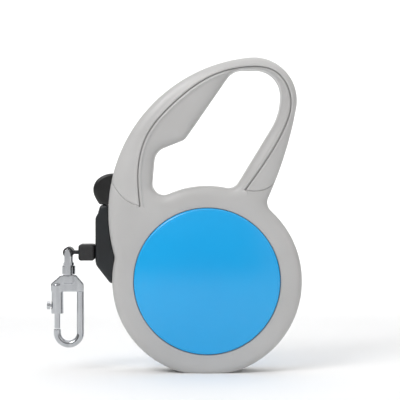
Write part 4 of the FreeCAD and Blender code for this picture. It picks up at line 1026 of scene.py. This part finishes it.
def stitch_rows():
    """Two rows of lock stitches across the sewn end of the tape, on both faces."""
    low, high = box_of("tape_end")
    tree = bpy.data.node_groups.new("stitches", "GeometryNodeTree")
    for name, kind in (("Rows", "NodeSocketGeometry"), ("Pitch", "NodeSocketFloat"),
                       ("Stitch Length", "NodeSocketFloat"), ("Thread Radius", "NodeSocketFloat"),
                       ("Thread", "NodeSocketMaterial")):
        tree.interface.new_socket(name, in_out="INPUT", socket_type=kind)
    tree.interface.new_socket("Geometry", in_out="OUTPUT", socket_type="NodeSocketGeometry")
    given = add_node(tree, "NodeGroupInput")
    along = add_node(tree, "GeometryNodeMeshToCurve", {}, {"Mesh": given.outputs["Rows"]})
    spaced = add_node(
        tree, "GeometryNodeResampleCurve", {"mode": "LENGTH"},
        {"Curve": along.outputs["Curve"], "Length": given.outputs["Pitch"]})
    seats = add_node(
        tree, "GeometryNodeCurveToPoints", {"mode": "EVALUATED"}, {"Curve": spaced.outputs["Curve"]})
    half = add_node(
        tree, "ShaderNodeMath", {"operation": "MULTIPLY", 1: 0.5}, {0: given.outputs["Stitch Length"]})
    ahead = add_node(tree, "ShaderNodeCombineXYZ", {}, {"Y": half.outputs[0]})
    back = add_node(
        tree, "ShaderNodeVectorMath", {"operation": "SCALE", "Scale": -1.0}, {0: ahead.outputs[0]})
    thread = add_node(
        tree, "GeometryNodeCurvePrimitiveLine", {}, {"Start": back.outputs[0], "End": ahead.outputs[0]})
    round_thread = add_node(
        tree, "GeometryNodeCurvePrimitiveCircle", {"Resolution": 8},
        {"Radius": given.outputs["Thread Radius"]})
    cord = add_node(
        tree, "GeometryNodeCurveToMesh", {"Fill Caps": True},
        {"Curve": thread.outputs["Curve"], "Profile Curve": round_thread.outputs["Curve"]})
    placed = add_node(
        tree, "GeometryNodeInstanceOnPoints", {},
        {"Points": seats.outputs["Points"], "Instance": cord.outputs["Mesh"]})
    real = add_node(tree, "GeometryNodeRealizeInstances", {}, {"Geometry": placed.outputs["Instances"]})
    coloured = add_node(
        tree, "GeometryNodeSetMaterial", {},
        {"Geometry": real.outputs["Geometry"], "Material": given.outputs["Thread"]})
    add_node(tree, "NodeGroupOutput", {}, {"Geometry": coloured.outputs["Geometry"]})

    middle = (low.z + high.z) / 2
    top, bottom = middle + STUB_HALF, middle - STUB_HALF
    corners, edges = [], []
    for row in SEWN_ROWS:
        for z in (top, bottom):
            edges.append((len(corners), len(corners) + 1))
            corners += [(high.x - row, low.y + SELVEDGE, z), (high.x - row, high.y - SELVEDGE, z)]
    mesh = bpy.data.meshes.new("stitches")
    mesh.from_pydata(in_metres(corners).tolist(), edges, [])
    made = add_object("tape_stitches", mesh)
    sewing = made.modifiers.new("sewing", "NODES")
    sewing.node_group = tree
    given_values = {
        "Pitch": 1.35 * MM, "Stitch Length": 0.95 * MM, "Thread Radius": 0.13 * MM, "Thread": THREAD}
    for name, value in given_values.items():
        sewing[socket_id(tree, name)] = value
    apply_modifiers(made)
    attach(made, "tape")


# half the height of the two sewn layers, the rows' places from the tape's end, and the unsewn edge
STUB_HALF = 0.85
SEWN_ROWS = (9.9, 9.1)
SELVEDGE = 0.9
stitch_rows()


# ---------------------------------------------------------------- springs
def spring(node, name, body):
    """A coil spring in the CAD node's place, on its body."""
    made = world_copy(node, name)
    made.data.materials.append(BLUED)
    finish_shading(made, 60)
    stand_in(made, body, node)
    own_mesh(made)


spring("bolt_spring", "bolt_spring_coil", "hook")
spring("brake_spring", "brake_spring_coil", "housing")

# ---------------------------------------------------------------- floor, light and camera
MIDDLE = Vector((-3.64 * MM, 0.0, 89.1 * MM))


def sweep():
    """A floor that curves up into a backdrop, pale and matt."""
    reach, bend, radius, top = 7.0, 1.2, 0.6, 3.0
    profile = [(-reach, 0.0), (bend, 0.0)]
    for a in np.radians(np.arange(6, 91, 6)):
        profile.append((bend + radius * math.sin(a), radius - radius * math.cos(a)))
    profile.append((bend + radius, top))
    count = len(profile)
    corners = [(x, y, z) for x in (-reach, reach) for y, z in profile]
    faces = [(i, i + 1, count + i + 1, count + i) for i in range(count - 1)]
    mesh = bpy.data.meshes.new("floor")
    mesh.from_pydata(corners, [], faces)
    mesh.shade_smooth()
    # matt paper: bright and even, so that the part's own shadow is all that shows on it
    paper, tree = new_material("matt_white_paper")
    place = add_node(tree, "ShaderNodeTexCoord").outputs["Object"]
    colour = two_tones(tree, noise(tree, place, 300.0), "#F3F3F3", "#F6F6F6")
    shader = add_node(tree, "ShaderNodeBsdfPrincipled", {"Roughness": 0.9}, {"Base Color": colour})
    finish_material(tree, shader)
    mesh.materials.append(paper)
    return add_object("floor", mesh)


sweep()


def area_light(name, place, width, power):
    """A soft box that faces the middle of the part."""
    lamp = bpy.data.lights.new(name, "AREA")
    lamp.shape = "SQUARE"
    lamp.size = width
    lamp.energy = power
    made = add_object(name, lamp)
    made.location = place
    made.rotation_euler = (MIDDLE - Vector(place)).to_track_quat("-Z", "Y").to_euler()
    return made


# places and widths in metres, power in watts
area_light("key_light", (-0.55, -0.75, 0.85), 0.5, 6.0)
area_light("fill_light", (0.75, -0.85, 0.35), 0.9, 1.1)
area_light("top_light", (0.1, 0.05, 1.0), 0.8, 2.6)
for x in (-0.7, 0.7):
    wall_light = area_light("wall_light", (x, 0.5, 1.3), 1.0, 16.0)
    wall_light.rotation_euler = (math.radians(80), 0.0, 0.0)

world = bpy.data.worlds.new("studio")
world.use_nodes = True
sky = world.node_tree
direction = add_node(sky, "ShaderNodeTexCoord").outputs["Generated"]
height = add_node(sky, "ShaderNodeSeparateXYZ", {}, {"Vector": direction}).outputs["Z"]
shade = add_node(sky, "ShaderNodeValToRGB", {}, {"Fac": height})
shade.color_ramp.elements[0].position = 0.05
shade.color_ramp.elements[0].color = from_hex("#8C8C8C")
shade.color_ramp.elements[1].position = 0.6
shade.color_ramp.elements[1].color = from_hex("#FFFFFF")
sky.links.new(shade.outputs["Color"], sky.nodes["Background"].inputs["Color"])
sky.nodes["Background"].inputs["Strength"].default_value = 0.62
bpy.context.scene.world = world

# a long lens from in front, a little above the middle
CAMERA_BACK, CAMERA_UP, LENS, SENSOR = 0.85, 0.02, 147.0, 36.0
camera_data = bpy.data.cameras.new("camera")
camera_data.lens = LENS
camera_data.sensor_width = SENSOR
camera = add_object("camera", camera_data)
camera.location = (MIDDLE.x, -CAMERA_BACK, MIDDLE.z + CAMERA_UP)
camera.rotation_euler = (MIDDLE - camera.location).to_track_quat("-Z", "Y").to_euler()
bpy.context.scene.camera = camera
bpy.context.scene.view_settings.view_transform = "Standard"
